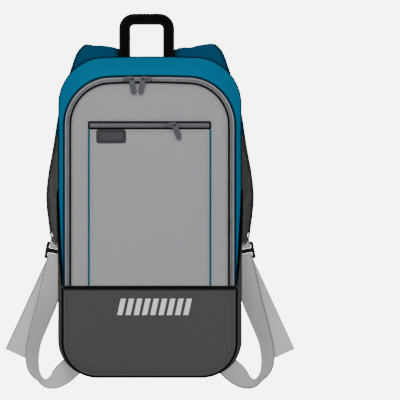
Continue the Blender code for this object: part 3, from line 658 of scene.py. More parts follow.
def cloth_grid(name, grid, finish, away_from, wall, cyclic=False, hub=None, relief=None, flat=False):
    """Cloth through rows of points: raised by a relief, given a metric UV map and a wall inwards."""
    normals = grid_normals(grid, cyclic)
    middle_row = grid[len(grid) // 3]
    j = len(middle_row) // 3
    outward = 1 if (middle_row[j] - Vector(away_from)).dot(normals[len(grid) // 3][j]) > 0 else -1
    form = bmesh.new()
    layer = form.loops.layers.uv.new("cloth")
    rows, places = [], {}
    down = 0.0
    for i, row in enumerate(grid):
        if i:
            down += (row[0] - grid[i - 1][0]).length
        verts, run = [], 0.0
        for k, point in enumerate(row):
            if k:
                run += (point - row[k - 1]).length
            lift = relief(point) if relief else 0.0
            vert = form.verts.new(point + normals[i][k] * outward * lift)
            places[vert] = (point.x, point.z) if flat else (run, down)
            verts.append(vert)
        rows.append(verts)
    columns = len(rows[0])
    spans = columns if cyclic else columns - 1
    for low, high in zip(rows, rows[1:]):
        for k in range(spans):
            n = (k + 1) % columns
            corners = (low[k], low[n], high[n], high[k])
            form.faces.new(corners if outward > 0 else tuple(reversed(corners)))
    if hub is not None:
        centre = form.verts.new(hub)
        places[centre] = (hub[0], hub[2])
        for k in range(spans):
            corners = (rows[-1][k], rows[-1][(k + 1) % columns], centre)
            form.faces.new(corners if outward > 0 else tuple(reversed(corners)))
    for face in form.faces:
        for loop in face.loops:
            loop[layer].uv = places[loop.vert]
    made = painted(linked(name, mesh_of(form, name)), FINISHES[finish])
    return crisp(thickened(made, "wall", wall, even=True), 50)


def front_panel(name, outline, proud, wall, finish, relief=None, rings=26):
    """Padded panel of the front inside a closed outline; proud is the height of its face."""
    middle_z = (max(z for _, z in outline) + min(z for _, z in outline)) / 2
    grid = []
    for ring in range(rings):
        share = 1 - (ring / rings) ** 1.35
        grid.append([front_point(x * share, between(middle_z, z, share), proud) for x, z in outline])
    hub = front_point(0, middle_z, proud)
    return cloth_grid(name, grid, finish, (0, 0, middle_z), wall, cyclic=True, hub=hub, relief=relief,
                      flat=True)


def joined_tube(name, lines, radius, finish, cyclic=False, sides=3):
    """Round cord along one or more lines, as a plain mesh."""
    curve = line_curve(name, lines, cyclic)
    curve.bevel_depth = radius
    curve.bevel_resolution = sides
    curve.use_fill_caps = not cyclic
    made = welded(plain_mesh(linked(name, curve)))
    return crisp(painted(made, FINISHES[finish]), 50)


def dotted_tree():
    """Geometry Nodes that set one small rounded piece after another along curves."""
    if "Dotted line" in bpy.data.node_groups:
        return bpy.data.node_groups["Dotted line"]
    tree = bpy.data.node_groups.new("Dotted line", "GeometryNodeTree")
    tree.interface.new_socket("Geometry", in_out="INPUT", socket_type="NodeSocketGeometry")
    for name in ("Spacing", "Long", "Wide", "High"):
        tree.interface.new_socket(name, in_out="INPUT", socket_type="NodeSocketFloat")
    tree.interface.new_socket("Facing", in_out="INPUT", socket_type="NodeSocketVector")
    tree.interface.new_socket("Finish", in_out="INPUT", socket_type="NodeSocketMaterial")
    tree.interface.new_socket("Geometry", in_out="OUTPUT", socket_type="NodeSocketGeometry")
    add, link = tree.nodes.new, tree.links.new
    start, end = add("NodeGroupInput"), add("NodeGroupOutput")
    spread = add("GeometryNodeResampleCurve")
    spread.mode = "LENGTH"
    link(start.outputs["Geometry"], spread.inputs["Curve"])
    link(start.outputs["Spacing"], spread.inputs["Length"])
    bead = add("GeometryNodeMeshUVSphere")
    bead.inputs["Segments"].default_value = 8
    bead.inputs["Rings"].default_value = 5
    bead.inputs["Radius"].default_value = 0.5
    size = add("ShaderNodeCombineXYZ")
    for socket, name in enumerate(("Long", "Wide", "High")):
        link(start.outputs[name], size.inputs[socket])
    along = add("GeometryNodeInputTangent")
    first = add("FunctionNodeAlignRotationToVector")
    first.axis = "X"
    link(along.outputs[0], first.inputs["Vector"])
    second = add("FunctionNodeAlignRotationToVector")
    second.axis = "Z"
    second.pivot_axis = "X"
    link(first.outputs[0], second.inputs["Rotation"])
    link(start.outputs["Facing"], second.inputs["Vector"])
    place = add("GeometryNodeInstanceOnPoints")
    link(spread.outputs[0], place.inputs["Points"])
    link(bead.outputs["Mesh"], place.inputs["Instance"])
    link(second.outputs[0], place.inputs["Rotation"])
    link(size.outputs[0], place.inputs["Scale"])
    real = add("GeometryNodeRealizeInstances")
    link(place.outputs[0], real.inputs[0])
    paint = add("GeometryNodeSetMaterial")
    link(real.outputs[0], paint.inputs["Geometry"])
    link(start.outputs["Finish"], paint.inputs["Material"])
    link(paint.outputs[0], end.inputs[0])
    return tree


def dotted(name, lines, spacing, long, wide, high, finish, facing=(0, -1, 0)):
    """Stitches or zip teeth along lines, as one plain mesh."""
    made = linked(name, line_curve(name, lines))
    tree = dotted_tree()
    modifier = made.modifiers.new("dots", "NODES")
    modifier.node_group = tree
    values = {"Spacing": spacing, "Long": long, "Wide": wide, "High": high,
              "Facing": facing, "Finish": FINISHES[finish]}
    for item in tree.interface.items_tree:
        if item.in_out == "INPUT" and item.name in values:
            modifier[item.identifier] = values[item.name]
    made = plain_mesh(made)
    made.data.shade_smooth()
    return made


def stitched(name, lines, finish, slot, facing=(0, -1, 0)):
    step = sizes().stitch
    made = dotted(name, lines, step * 1.35, step, 0.00062, 0.00055, finish, facing)
    return finished(made, slot)


def front_line(points, proud):
    return [front_point(x, z, proud) for x, z in points]


# The bag's body
class BACKPACK_OT_gusset(bpy.types.Operator):
    """Builds the teal wall round the bag, with the tape that binds its back edge"""
    bl_idname = "backpack.gusset"
    bl_label = "Side wall"

    def execute(self, context):
        height = context.scene.backpack_sizes.wrinkle
        grid = [[wall_point(x, z, share) for x, z in closed_outline(body_section(share))]
                for share in evenly(0, 1, 34)]

        def relief(point):
            share = share_at(point.y)
            edge = math.sin(math.pi * clamped(share))
            pucker = 0.35 * math.sin(point.z * 520 + point.x * 410) * math.exp(-share * 14)
            return height * (0.9 * edge * softness(point, 17.0, 2.0) + pucker - 0.1)

        middle = (0, (GUSSET_BACK_Y + RIM_Y) / 2, (BODY_TOP + BODY_BOTTOM) / 2)
        made = cloth_grid("Gusset", grid, "body", middle, 0.005, cyclic=True, relief=relief)
        finished(made or made, "body_cloth", "gusset")
        back = self.ring(0.0, 0.0012)
        finished(joined_tube("Back_edge_binding", [back], 0.0015, "band", cyclic=True), "black_band")
        stitched("Back_edge_stitches", [self.ring(0.03, 0.0045)], "teal_thread", "body_cloth", (1, 0, 0))
        return {"FINISHED"}

    def ring(self, share, forward):
        """Line round the wall just above its cloth, some way forward of its back edge."""
        return [Vector((x, GUSSET_BACK_Y - forward, z))
                for x, z in closed_outline(body_section(share, 0.0002))]


def flap_relief(point):
    """The flap sinks a little round the pocket and rises over the foam between the seams."""
    height = sizes().wrinkle
    inset = FRONT_HALF_WIDTH - FLAP_INSET - abs(point.x)
    edge = clamped(inset / 0.012)
    return height * (edge * 0.8 * softness(point, 22.0, 5.0) + 0.35 * edge - 0.2)


class BACKPACK_OT_front(bpy.types.Operator):
    """Builds the light grey flap inside the main zip and the grey base front under the seam band"""
    bl_idname = "backpack.front"
    bl_label = "Front panels"

    def execute(self, context):
        outline = self.closed(arch(FLAP_INSET, SEAM_Z + GAP), SEAM_Z + GAP)
        flap = front_panel("Front_flap", outline, PANEL_FACE, FLAP_WALL, "front", flap_relief)
        finished(flap or flap, "front_cloth", "front_flap")

        def base_relief(point):
            depth = BAND_BOTTOM_Z - point.z
            edge = clamped(depth / 0.02)
            sag = 0.9 * math.exp(-((depth - 0.02) / 0.011) ** 2) * softness((point.x, 0, 0), 34.0, 1.0)
            return context.scene.backpack_sizes.wrinkle * (edge * softness(point, 19.0, 8.0) + sag - 0.1)

        outline = self.closed(base_line(0.0), SEAM_Z - GAP)
        base = front_panel("Base_front", outline, PANEL_FACE, FLAP_WALL, "base", base_relief)
        finished(base or base, "base_cloth", "base_front")
        return {"FINISHED"}

    def closed(self, line, height):
        """The line closed along the seam, at a height."""
        return line + [(x, height) for x in evenly(line[-1][0], line[0][0], 44)[1:-1]]


class BACKPACK_OT_lower(bpy.types.Operator):
    """Builds the grey layer round the underside, the slanted side pockets and their bound edges"""
    bl_idname = "backpack.lower"
    bl_label = "Base and side pockets"

    def execute(self, context):
        height = context.scene.backpack_sizes.wrinkle
        self.base_wrap(height)
        for side, word in ((-1, "left"), (1, "right")):
            self.side_pocket(side, word, height)
        return {"FINISHED"}

    def base_wrap(self, height):
        grid = [[wall_point(x, z, share) for x, z in self.under(share, GAP, 0.0002)]
                for share in evenly(0, 1, 30)]

        def relief(point):
            return 0.0015 + height * (0.5 * softness(point, 20.0, 11.0))

        middle = (0, (GUSSET_BACK_Y + RIM_Y) / 2, BODY_BOTTOM + 0.1)
        made = cloth_grid("Base_wrap", grid, "base", middle, 0.0015, relief=relief)
        finished(made, "base_cloth", "base_wrap")
        near = [wall_point(x, z, 0.93) for x, z in self.under(0.93, 0.0014)]
        far = [Vector((x, depth_y(0.05), z)) for x, z in self.under(0.05, 0.0013)]
        stitched("Base_wrap_stitches", [near, far], "dark_thread", "base_cloth", (0, 0, -1))

    def under(self, share, grow, above=0.0):
        """The section's line round the underside, up to where the corners end and a little above."""
        return mirrored([point for point in body_section(share, grow)
                         if point[1] < corner_top(share) + above])

    def side_pocket(self, side, word, height):
        rows, columns = 40, 44
        grid, edge = [], []
        slope = (POCKET_EDGE_FRONT_Z - POCKET_EDGE_BACK_Z) / (GUSSET_BACK_Y - RIM_Y)
        rise = (GAP + 0.0011) * math.hypot(1, slope)
        for i in range(columns + 1):
            share = i / columns
            low = corner_top(share) + GAP
            high = between(POCKET_EDGE_BACK_Z, POCKET_EDGE_FRONT_Z, share)
            x = body_half_width(share) + GAP
            grid.append([Vector((side * x, depth_y(share) - bulge(FRONT_HALF_WIDTH, z) * share, z))
                         for z in evenly(low, high, rows)])
            edge.append(Vector((side * (x + 0.00075), grid[-1][-1].y, high + rise * 0.2)))

        def relief(point):
            share = share_at(point.y)
            high = between(POCKET_EDGE_BACK_Z, POCKET_EDGE_FRONT_Z, share)
            down = max(0.0, high - point.z)
            gather = math.sin(point.y * 420 + side) * math.exp(-down / 0.018) * 0.25
            belly = 2.6 * math.sin(math.pi * clamped(share)) * math.exp(-((down - 0.03) / 0.05) ** 2)
            return 0.0015 + height * (gather + belly + 0.6 * softness(point, 24.0, 14.0 + side))

        made = cloth_grid(f"Side_pocket_{word}", grid, "base", (0, -0.08, -0.4), 0.0015, relief=relief)
        finished(made, "base_cloth", f"side_pocket_{word}")
        trim = self.beside(edge, relief, side, -0.0007)
        binding = joined_tube(f"Pocket_binding_{word}", [trim], 0.0015, "band")
        finished(binding, "black_band", f"pocket_binding_{word}")
        row = self.beside(edge, relief, side, 0.0001, 0.0040)
        stitched(f"Pocket_stitches_{word}", [row], "dark_thread", "base_cloth", (side, 0, 0))

    def beside(self, line, relief, side, proud, drop=0.0):
        """The line moved out with the pocket's cloth and down."""
        return [Vector((point.x + side * (relief(point) + proud), point.y, point.z - drop)) for point in line]


class BACKPACK_OT_trim(bpy.types.Operator):
    """Builds the seam band, the pipings and their stitch rows"""
    bl_idname = "backpack.trim"
    bl_label = "Bands and piping"

    def execute(self, context):
        half = FRONT_HALF_WIDTH - OUTER_PIPING_INSET
        grid = []
        for i, z in enumerate(evenly(BAND_BOTTOM_Z, BAND_TOP_Z, 8)):
            rise = 0.0015 - 0.0008 * abs(i / 4 - 1) ** 3
            grid.append([front_point(x, z, PANEL_FACE + GAP + rise) for x in evenly(-half, half, 120)])
        band = cloth_grid("Seam_band", grid, "band", (0, 0, SEAM_Z), 0.0013,
                          relief=lambda p: 0.00012 * softness(p, 60.0))
        finished(band, "black_band", "seam_band")
        rows = []
        for z in (BAND_BOTTOM_Z + 0.0011, BAND_TOP_Z - 0.0011):
            rows.append([front_point(x, z, PANEL_FACE + GAP + 0.0015) for x in evenly(-half, half, 90)])
        stitched("Seam_band_stitches", rows, "dark_thread", "black_band")
        inset = FLAP_INSET + PIPING_RADIUS / 2
        for name, line, proud, finish, slot in (
                ("Base_piping", base_line(-PIPING_RADIUS - GAP), 0, "band", "black_band"),
                ("Zip_piping", arch(OUTER_PIPING_INSET), 0, "piping", "dark_piping"),
                ("Flap_piping", arch(inset, BAND_TOP_Z + GAP), PANEL_FACE, "band", "dark_piping")):
            line = front_line(line, proud + GAP + PIPING_RADIUS)
            finished(joined_tube(name, [line], PIPING_RADIUS, finish, sides=4), slot, name.lower())
        rows = [front_line(arch(FLAP_INSET + 0.0040, BAND_TOP_Z + 0.001), PANEL_FACE + 0.0004)]
        stitched("Flap_stitches", rows, "pale_thread", "front_cloth")
        rows = [front_line(base_line(0.0050), PANEL_FACE + 0.0004)]
        stitched("Base_front_stitches", rows, "dark_thread", "base_cloth")
        return {"FINISHED"}


# Zips
def coil_teeth(name, lines, pitch, long, node):
    """Rows of coil turns side by side, each turn a small bead across the chain."""
    made = dotted(name, lines, pitch, pitch * 0.72, long, 0.0018, "coil")
    return finished(made, "zip_coil", node)


class BACKPACK_OT_zips(bpy.types.Operator):
    """Builds the main zip round the flap and the front pocket's zip: tape, coil, cord and stitches"""
    bl_idname = "backpack.zips"
    bl_label = "Zips"

    def execute(self, context):
        pitch = context.scene.backpack_sizes.tooth
        middle = (TAPE_OUTER_INSET + TAPE_INNER_INSET) / 2
        grid = [front_line(arch(inset), GAP + 0.001)
                for inset in evenly(TAPE_OUTER_INSET, TAPE_INNER_INSET, 8)]
        tape = cloth_grid("Main_zip_tape", grid, "tape", (0, 0, -0.25), 0.001)
        finished(tape, "zip_tape", "main_zip_tape")
        teeth = [front_line(arch(middle + offset), 0.0021) for offset in (-0.0007, 0.0007)]
        coil_teeth("Main_zip_coil", teeth, pitch, 0.0021, "main_zip_coil")
        rows = [front_line(arch(middle + offset), GAP + 0.0011) for offset in (-0.0022, 0.0022)]
        stitched("Main_zip_stitches", rows, "pale_thread", "zip_tape")
        self.pocket_zip()
        return {"FINISHED"}

    def pocket_zip(self):
        half_height, radius, corner = 0.0044, 0.0012, 0.0008
        half = POCKET_HALF_WIDTH
        reach = half - corner
        loop = [(x, ZIP_CENTRE_Z + half_height) for x in evenly(-reach, reach, 24)]
        for i in range(1, 6):
            angle = math.pi / 2 * (1 - i / 6)
            loop.append((reach + corner * math.cos(angle),
                         ZIP_CENTRE_Z + half_height - corner * (1 - math.sin(angle))))
        for i in range(1, 6):
            angle = -math.pi / 2 * i / 6
            loop.append((reach + corner * math.cos(angle),
                         ZIP_CENTRE_Z - half_height + corner * (1 + math.sin(angle))))
        loop += [(-x, 2 * ZIP_CENTRE_Z - z) for x, z in loop]
        line = [front_point(x, z, PANEL_FACE + GAP + radius) for x, z in loop]
        welt = joined_tube("Pocket_zip_welt", [line], radius, "band", cyclic=True, sides=4)
        finished(welt, "black_band", "pocket_zip_welt")
        width = half - radius - GAP
        tall = half_height - radius - GAP
        grid = [[front_point(x, ZIP_CENTRE_Z + z, PANEL_FACE + 0.0013) for x in evenly(-width, width, 80)]
                for z in evenly(-tall, tall, 6)]
        tape = cloth_grid("Pocket_zip_tape", grid, "pocket_tape", (0, 0, ZIP_CENTRE_Z), 0.001)
        finished(tape, "zip_tape", "pocket_zip_tape")
        rows = [[front_point(x, ZIP_CENTRE_Z + offset, PANEL_FACE + 0.0021)
                 for x in evenly(-width + 0.001, width - 0.001, 80)] for offset in (-0.0006, 0.0006)]
        coil_teeth("Pocket_zip_coil", rows, 0.0012, 0.0018, "pocket_zip_coil")


class BACKPACK_OT_pocket(bpy.types.Operator):
    """Builds the front pocket, its teal pipings, its stitches and the plain tag"""
    bl_idname = "backpack.pocket"
    bl_label = "Front pocket"

    def execute(self, context):
        low, high = BAND_TOP_Z + GAP, POCKET_TOP_Z
        half = POCKET_HALF_WIDTH - 0.0014

        def relief(point):
            down, side = high - point.z, POCKET_HALF_WIDTH - abs(point.x)
            edge = clamped(min(down, side, point.z - low) / 0.010)
            drape = 0.5 * softness((point.x * 2.2, 0, point.z * 0.7), 16.0, 21.0)
            strain = 0.5 * math.exp(-down / 0.02) * math.sin(point.x * 160 + 0.8)
            return context.scene.backpack_sizes.wrinkle * (edge * (drape + strain) + 0.35 * edge)

        grid = [[pocket_point(x, z, 0.0012) for x in evenly(-half, half, 72)] for z in evenly(low, high, 60)]
        made = cloth_grid("Front_pocket", grid, "front", (0, 0, -0.25), 0.0012, relief=relief, flat=True)
        finished(made, "front_cloth", "front_pocket")
        for side, word in ((-1, "left"), (1, "right")):
            line = [front_point(side * POCKET_HALF_WIDTH, z, PANEL_FACE + GAP + 0.0011)
                    for z in evenly(low, high, 60)]
            cord = joined_tube(f"Pocket_piping_{word}", [line], 0.0012, "accent", sides=4)
            finished(cord, "teal_piping", f"pocket_piping_{word}")
        rows = [[pocket_point(side * (half - 0.0038), z, 0.0016)
                 for z in evenly(low + 0.002, high - 0.003, 60)] for side in (1, -1)]
        rows.append([pocket_point(x, high - 0.0032, 0.0017) for x in evenly(-half + 0.004, half - 0.004, 60)])
        stitched("Pocket_stitches", rows, "pale_thread", "front_cloth")
        self.tag()
        return {"FINISHED"}

    def tag_rings(self, insets, heights):
        """Rings of the tag's rounded outline, each moved inwards by an inset and standing at a height."""
        half_x, half_z = (LABEL_HIGH.x - LABEL_LOW.x) / 2, (LABEL_HIGH.z - LABEL_LOW.z) / 2
        centre = ((LABEL_HIGH.x + LABEL_LOW.x) / 2, (LABEL_HIGH.z + LABEL_LOW.z) / 2)
        grid = []
        for inset, height in zip(insets, heights):
            corners = rounded_box(half_x - inset, half_z - inset, max(0.0004, 0.0034 - inset), 6, centre)
            row = []
            for k, (start, end) in enumerate(zip(corners, corners[1:] + corners[:1])):
                parts = 10 if k % 7 == 6 else 1
                row += [pocket_point(x, z, height) for x, z in
                        list(zip(evenly(start[0], end[0], parts), evenly(start[1], end[1], parts)))[:-1]]
            grid.append(row)
        return grid, pocket_point(*centre, heights[-1])

    def tag(self):
        proud = 0.0012 + GAP + 0.0011
        rim = [(0.0, -0.0005), (0.0002, -0.0001), (0.0005, 0.0), (0.0010, 0.0004), (0.0016, 0.0006),
               (0.0022, 0.0004), (0.0026, 0.0), (0.0030, -0.0002), (0.0050, -0.0002), (0.0080, -0.0002)]
        grid, hub = self.tag_rings([a for a, _ in rim], [proud + b for _, b in rim])
        made = cloth_grid("Tag", grid, "label", (0, 0, -0.25), 0.0011, cyclic=True, hub=hub, flat=True)
        finished(made, "label", "label")
        raised = [(0.0034, 0.0002), (0.0036, 0.0004), (0.0050, 0.0005), (0.0070, 0.0005), (0.0088, 0.0005)]
        grid, hub = self.tag_rings([a for a, _ in raised], [proud + b for _, b in raised])
        face = cloth_grid("Tag_face", grid, "tag_face", (0, 0, -0.25), 0.0005, cyclic=True, hub=hub,
                          flat=True)
        finished(face, "label")
        grid, _ = self.tag_rings((0.0044,), (proud + 0.0006,))
        stitched("Tag_stitches", [grid[0] + grid[0][:1]], "dark_thread", "label")


# Sliders and pulls
def rounded_box(half_width, half_height, radius, steps=6, centre=(0.0, 0.0)):
    """Outline of a box with round corners."""
    points = []
    for corner, (sx, sy) in enumerate(((1, 1), (-1, 1), (-1, -1), (1, -1))):
        for i in range(steps + 1):
            angle = math.pi / 2 * (corner + i / steps)
            points.append((centre[0] + sx * (half_width - radius) + radius * math.cos(angle),
                           centre[1] + sy * (half_height - radius) + radius * math.sin(angle)))
    return points


def plate(name, outlines, wall, finish, turn, place, bevel=0.0003):
    """Flat plate with holes, its edges rounded, stood up and moved into place."""
    curve = line_curve(name, [[(x, y, 0.0) for x, y in outline] for outline in outlines], cyclic=True)
    curve.dimensions = "2D"
    curve.fill_mode = "BOTH"
    curve.extrude = wall / 2 - bevel
    curve.bevel_depth = bevel
    curve.bevel_resolution = 2
    curve.offset = -bevel
    made = welded(plain_mesh(linked(name, curve)), turned=True)
    made.data.transform(Matrix.Translation(place) @ Euler(turn).to_matrix().to_4x4())
    return crisp(painted(made, FINISHES[finish]), 35)


def joined(name, makers):
    """Several meshes as one object."""
    form = bmesh.new()
    finish = makers[0].data.materials[0]
    for piece in makers:
        form.from_mesh(piece.data)
    mesh = mesh_of(form, name)
    for piece in makers:
        bpy.data.objects.remove(piece, do_unlink=True)
    mesh.materials.append(finish)
    return linked(name, mesh)


class BACKPACK_OT_sliders(bpy.types.Operator):
    """Builds the zip sliders, each with its bridge, its small ring and its flat pull"""
    bl_idname = "backpack.sliders"
    bl_label = "Sliders and pulls"

    def execute(self, context):
        for node, pull, lean, end in (("main_slider_left", "main_pull_left", 10, 1),
                                      ("main_slider_right", "main_pull_right", -10, -1),
                                      ("pocket_slider", "pocket_pull", 19, 1)):
            self.slider(node, end)
            self.pull(node, pull, math.radians(lean), end)
        return {"FINISHED"}

    def slider(self, node, end):
        low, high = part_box(node)
        middle = (low + high) / 2
        half_width, half_height = (high.x - low.x) / 2, (high.z - low.z) / 2
        depth = high.y - low.y
        upright = (math.pi / 2, 0, 0)
        corners = ((0.98, 0.46), (0.72, 0.74), (0.10, 0.80), (-0.45, 0.98), (-0.86, 0.94), (-0.98, 0.66))
        body = [(-end * half_width * x, half_height * z) for x, z in corners]
        body += [(x, -z) for x, z in reversed(body)]
        smaller = [(x * 0.92, z * 0.86) for x, z in body]
        plates = [plate(f"{node}_{word}", [outline], depth * wall, "metal", upright,
                        (middle.x, high.y - depth * back, middle.z))
                  for word, outline, wall, back in (("under", body, 0.42, 0.21),
                                                    ("over", smaller, 0.30, 0.57))]
        bridge = []
        for angle in evenly(0, math.pi, 12):
            bridge.append(Vector((middle.x + end * half_width * (0.28 + 0.52 * math.cos(angle)),
                                  high.y - depth * (0.66 + 0.24 * math.sin(angle)), middle.z)))
        loop = joined_tube(f"{node}_bridge", [bridge], 0.0007, "metal")
        finished(crisp(joined(node.capitalize(), plates + [loop]), 35), "slider", node)

    def pull(self, node, pull, lean, end):
        low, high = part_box(node)
        seat_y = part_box(pull)[0].y
        x, z = (low.x + high.x) / 2 + end * 0.0050, (low.z + high.z) / 2
        long, wide, wall, eye_radius = 0.0250, 0.0080, 0.0012, 0.0017
        half = wide / 2
        eye_z = long / 2 - half
        body = []
        for i in range(40):
            angle = 2 * math.pi * i / 40
            up = half * math.sin(angle) + math.copysign(eye_z, math.sin(angle))
            waist = 1 - 0.24 * math.exp(-((up + long * 0.06) / (long * 0.22)) ** 2)
            body.append((half * math.cos(angle) * waist, up))
        eye = [(eye_radius * math.cos(-math.pi * k / 12), eye_z + eye_radius * math.sin(-math.pi * k / 12))
               for k in range(24)]
        grip_at = (0, -long * 0.17)
        grip = list(reversed(rounded_box(half * 0.38, long * 0.17, half * 0.3, 4, grip_at)))
        down = Vector((math.sin(lean), 0, -math.cos(lean)))
        place = Vector((x, seat_y + wall / 2, z)) + down * eye_z
        turn = (math.pi / 2, -lean, 0)
        flat = plate(f"{pull}_flat", [body, eye, grip], wall, "metal", turn, place, 0.00035)
        membrane = plate(f"{pull}_membrane", [rounded_box(half * 0.44, long * 0.19, half * 0.3, 4, grip_at)],
                         wall * 0.45, "metal", turn, place, 0.0001)
        ring = []
        for k in range(20):
            angle = 2 * math.pi * k / 20
            ring.append(Vector((x, seat_y + 0.0010 + 0.0012 * math.cos(angle),
                                z + 0.0001 + 0.0014 * math.sin(angle))))
        link = joined_tube(f"{pull}_ring", [ring], 0.00045, "metal", cyclic=True)
        finished(crisp(joined(pull.capitalize(), [flat, membrane, link]), 35), "slider", pull)


# Bands and pads
def smooth_rows(rows, steps):
    """Catmull-Rom curve through the rows, with a number of steps between each pair."""
    ends = [rows[0]] + list(rows) + [rows[-1]]
    out = []
    for i in range(1, len(ends) - 2):
        before, start, end, after = ends[i - 1:i + 3]
        for k in range(steps):
            t = k / steps
            out.append(tuple(
                0.5 * (2 * b + (c - a) * t + (2 * a - 5 * b + 4 * c - d) * t * t
                       + (3 * b - a - 3 * c + d) * t ** 3)
                for a, b, c, d in zip(before, start, end, after)))
    out.append(tuple(rows[-1]))
    return out


def tangents(points):
    """Direction of a line at each of its points."""
    return [(ahead - behind).normalized()
            for behind, ahead in zip(points[:1] + points[:-1], points[1:] + points[-1:])]


def flat_section(half_width, half_thick, power, count):
    """Rounded flat section as (across, through) offsets."""
    offsets = []
    for i in range(count):
        angle = 2 * math.pi * (i + 0.5) / count
        c, s = math.cos(angle), math.sin(angle)
        offsets.append((math.copysign(abs(c) ** (2 / power), c) * half_width,
                        math.copysign(abs(s) ** (2 / power), s) * half_thick))
    return offsets


def loft(name, stations, finish, power, count, relief=None):
    """Closed band through stations of (centre, across, through, half width, half thickness)."""
    form = bmesh.new()
    layer = form.loops.layers.uv.new("cloth")
    rings, places = [], {}
    run = 0.0
    for i, (centre, across, through, half_width, half_thick) in enumerate(stations):
        if i:
            run += (centre - stations[i - 1][0]).length
        ring = []
        for u, v in flat_section(half_width, half_thick, power, count):
            lift = relief(run, u, v) if relief else 0.0
            vert = form.verts.new(centre + across * u + through * (v + math.copysign(lift, v)))
            places[vert] = (u + (v if abs(u) > half_width * 0.9 else 0), run)
            ring.append(vert)
        rings.append(ring)
    for low, high in zip(rings, rings[1:]):
        for k in range(count):
            n = (k + 1) % count
            form.faces.new((low[k], low[n], high[n], high[k]))
    form.faces.new(list(reversed(rings[0])))
    form.faces.new(rings[-1])
    bmesh.ops.recalc_face_normals(form, faces=form.faces)
    for face in form.faces:
        for loop in face.loops:
            loop[layer].uv = places[loop.vert]
    return crisp(painted(linked(name, mesh_of(form, name)), FINISHES[finish]), 60)


SWELL = dict(
    quality=5, mass=0.2, tension_stiffness=12, compression_stiffness=12, shear_stiffness=4,
    bending_stiffness=0.8, shrink_min=-0.03, use_pressure=True, uniform_pressure_force=4.0,
    vertex_group_mass="held")


def puffed(made, reach, held):
    """Lets a pad swell as sewn foam does: held where held(point) says, moved at most a reach."""
    finish = made.data.materials[0]
    remesh = made.modifiers.new("even", "REMESH")
    remesh.mode = "VOXEL"
    remesh.voxel_size = sizes().voxel
    made = painted(plain_mesh(made), finish)
    start = [vert.co.copy() for vert in made.data.vertices]
    group = made.vertex_groups.new(name="held")
    for vert in made.data.vertices:
        group.add([vert.index], held(vert.co), "REPLACE")
    cloth = made.modifiers.new("swell", "CLOTH")
    for setting, value in SWELL.items():
        setattr(cloth.settings, setting, value)
    cloth.settings.effector_weights.gravity = 0.0
    cloth.collision_settings.use_collision = False
    frames = sizes().frames
    cloth.point_cache.frame_start = 1
    cloth.point_cache.frame_end = frames
    for number in range(1, frames + 1):
        bpy.context.scene.frame_set(number)
    made = plain_mesh(made)
    bpy.context.scene.frame_set(1)
    for vert, place in zip(made.data.vertices, start):
        moved = vert.co - place
        if moved.length > reach:
            vert.co = place + moved.normalized() * reach
    smooth = made.modifiers.new("fine", "SUBSURF")
    smooth.levels = smooth.render_levels = 1
    made = plain_mesh(made)
    made.vertex_groups.clear()
    made.data.shade_smooth()
    return made


class BACKPACK_OT_handle(bpy.types.Operator):
    """Builds the black carry handle: woven loop with a padded grip and stitch rows"""
    bl_idname = "backpack.handle"
    bl_label = "Carry handle"

    def execute(self, context):
        band, thick, corner = 0.0159, 0.010, 0.0130
        centre_x = (HANDLE_LOW.x + HANDLE_HIGH.x) / 2
        leg_x = (HANDLE_HIGH.x - HANDLE_LOW.x) / 2 - band / 2
        band_z = band / 2
        line = [(-leg_x, z) for z in evenly(HANDLE_LOW.z, band_z - corner, 24)[:-1]]
        line += self.bend(-1, leg_x, band_z, corner, evenly(0, 1, 16))
        line += [(x, band_z) for x in evenly(-leg_x + corner, leg_x - corner, 16)[1:-1]]
        line += self.bend(1, leg_x, band_z, corner, [1 - share for share in evenly(0, 1, 16)])
        line += [(leg_x, z) for z in evenly(band_z - corner, HANDLE_LOW.z, 24)[1:]]
        points = [Vector((centre_x + x, 0, z)) for x, z in line]
        stations = []
        for point, tangent in zip(points, tangents(points)):
            across = Vector((tangent.z, 0, -tangent.x))
            grip = 1.0 if abs(point.x - centre_x) < leg_x - corner * 0.6 else 0.9
            stations.append((point, across, Vector((0, 1, 0)), band / 2, thick / 2 * grip))
        made = loft("Carry_handle", stations, "handle", 4.0, 40,
                    lambda run, u, v: 0.00025 * math.sin(run * 900) * (1 if abs(u) < band * 0.4 else 0.3))
        finished(made, "black_band", "carry_handle")
        rows = [[s[0] + s[1] * offset - Vector((0, s[4], 0)) for s in stations]
                for offset in (-band * 0.36, band * 0.36)]
        stitched("Handle_stitches", rows, "dark_thread", "black_band")
        return {"FINISHED"}

    def bend(self, side, leg_x, band_z, corner, shares):
        """Quarter round between a leg and the top band, at shares of its turn."""
        angles = [math.pi / 2 * share for share in shares]
        return [(side * (leg_x - corner * (1 - math.cos(angle))), band_z - corner * (1 - math.sin(angle)))
                for angle in angles]


STRAP_ROUTE = (  # drop, bow, outer, width, thick, tilt
    (0.228, 0.000, 0.790, 0.00, 0.90, 0.0),
    (0.102, 0.010, 0.753, 0.00, 1.00, 0.3),
    (0.041, 0.075, 0.706, 0.00, 1.00, 1.0),
    (0.010, 0.200, 0.660, 0.00, 1.00, 1.0),
    (0.000, 0.350, 0.632, 0.00, 1.00, 1.0),
    (0.017, 0.520, 0.664, 0.00, 1.00, 1.0),
    (0.073, 0.690, 0.735, 0.97, 1.00, 0.6),
    (0.160, 0.820, 0.795, 1.00, 1.00, 0.2),
    (0.296, 0.940, 0.872, 1.00, 1.00, 0.0),
    (0.509, 1.000, 0.938, 1.00, 1.00, 0.0),
    (0.636, 0.970, 0.981, 1.00, 1.00, 0.0),
    (0.760, 0.865, 1.000, 1.00, 1.00, 0.0),
    (0.888, 0.630, 0.974, 0.84, 0.90, 0.0),
    (0.945, 0.470, 0.957, 0.62, 0.55, 0.0),
    (0.980, 0.425, 0.926, 0.42, 0.32, 0.0),
    (1.000, 0.420, 0.869, 0.15, 0.28, 0.0),
)
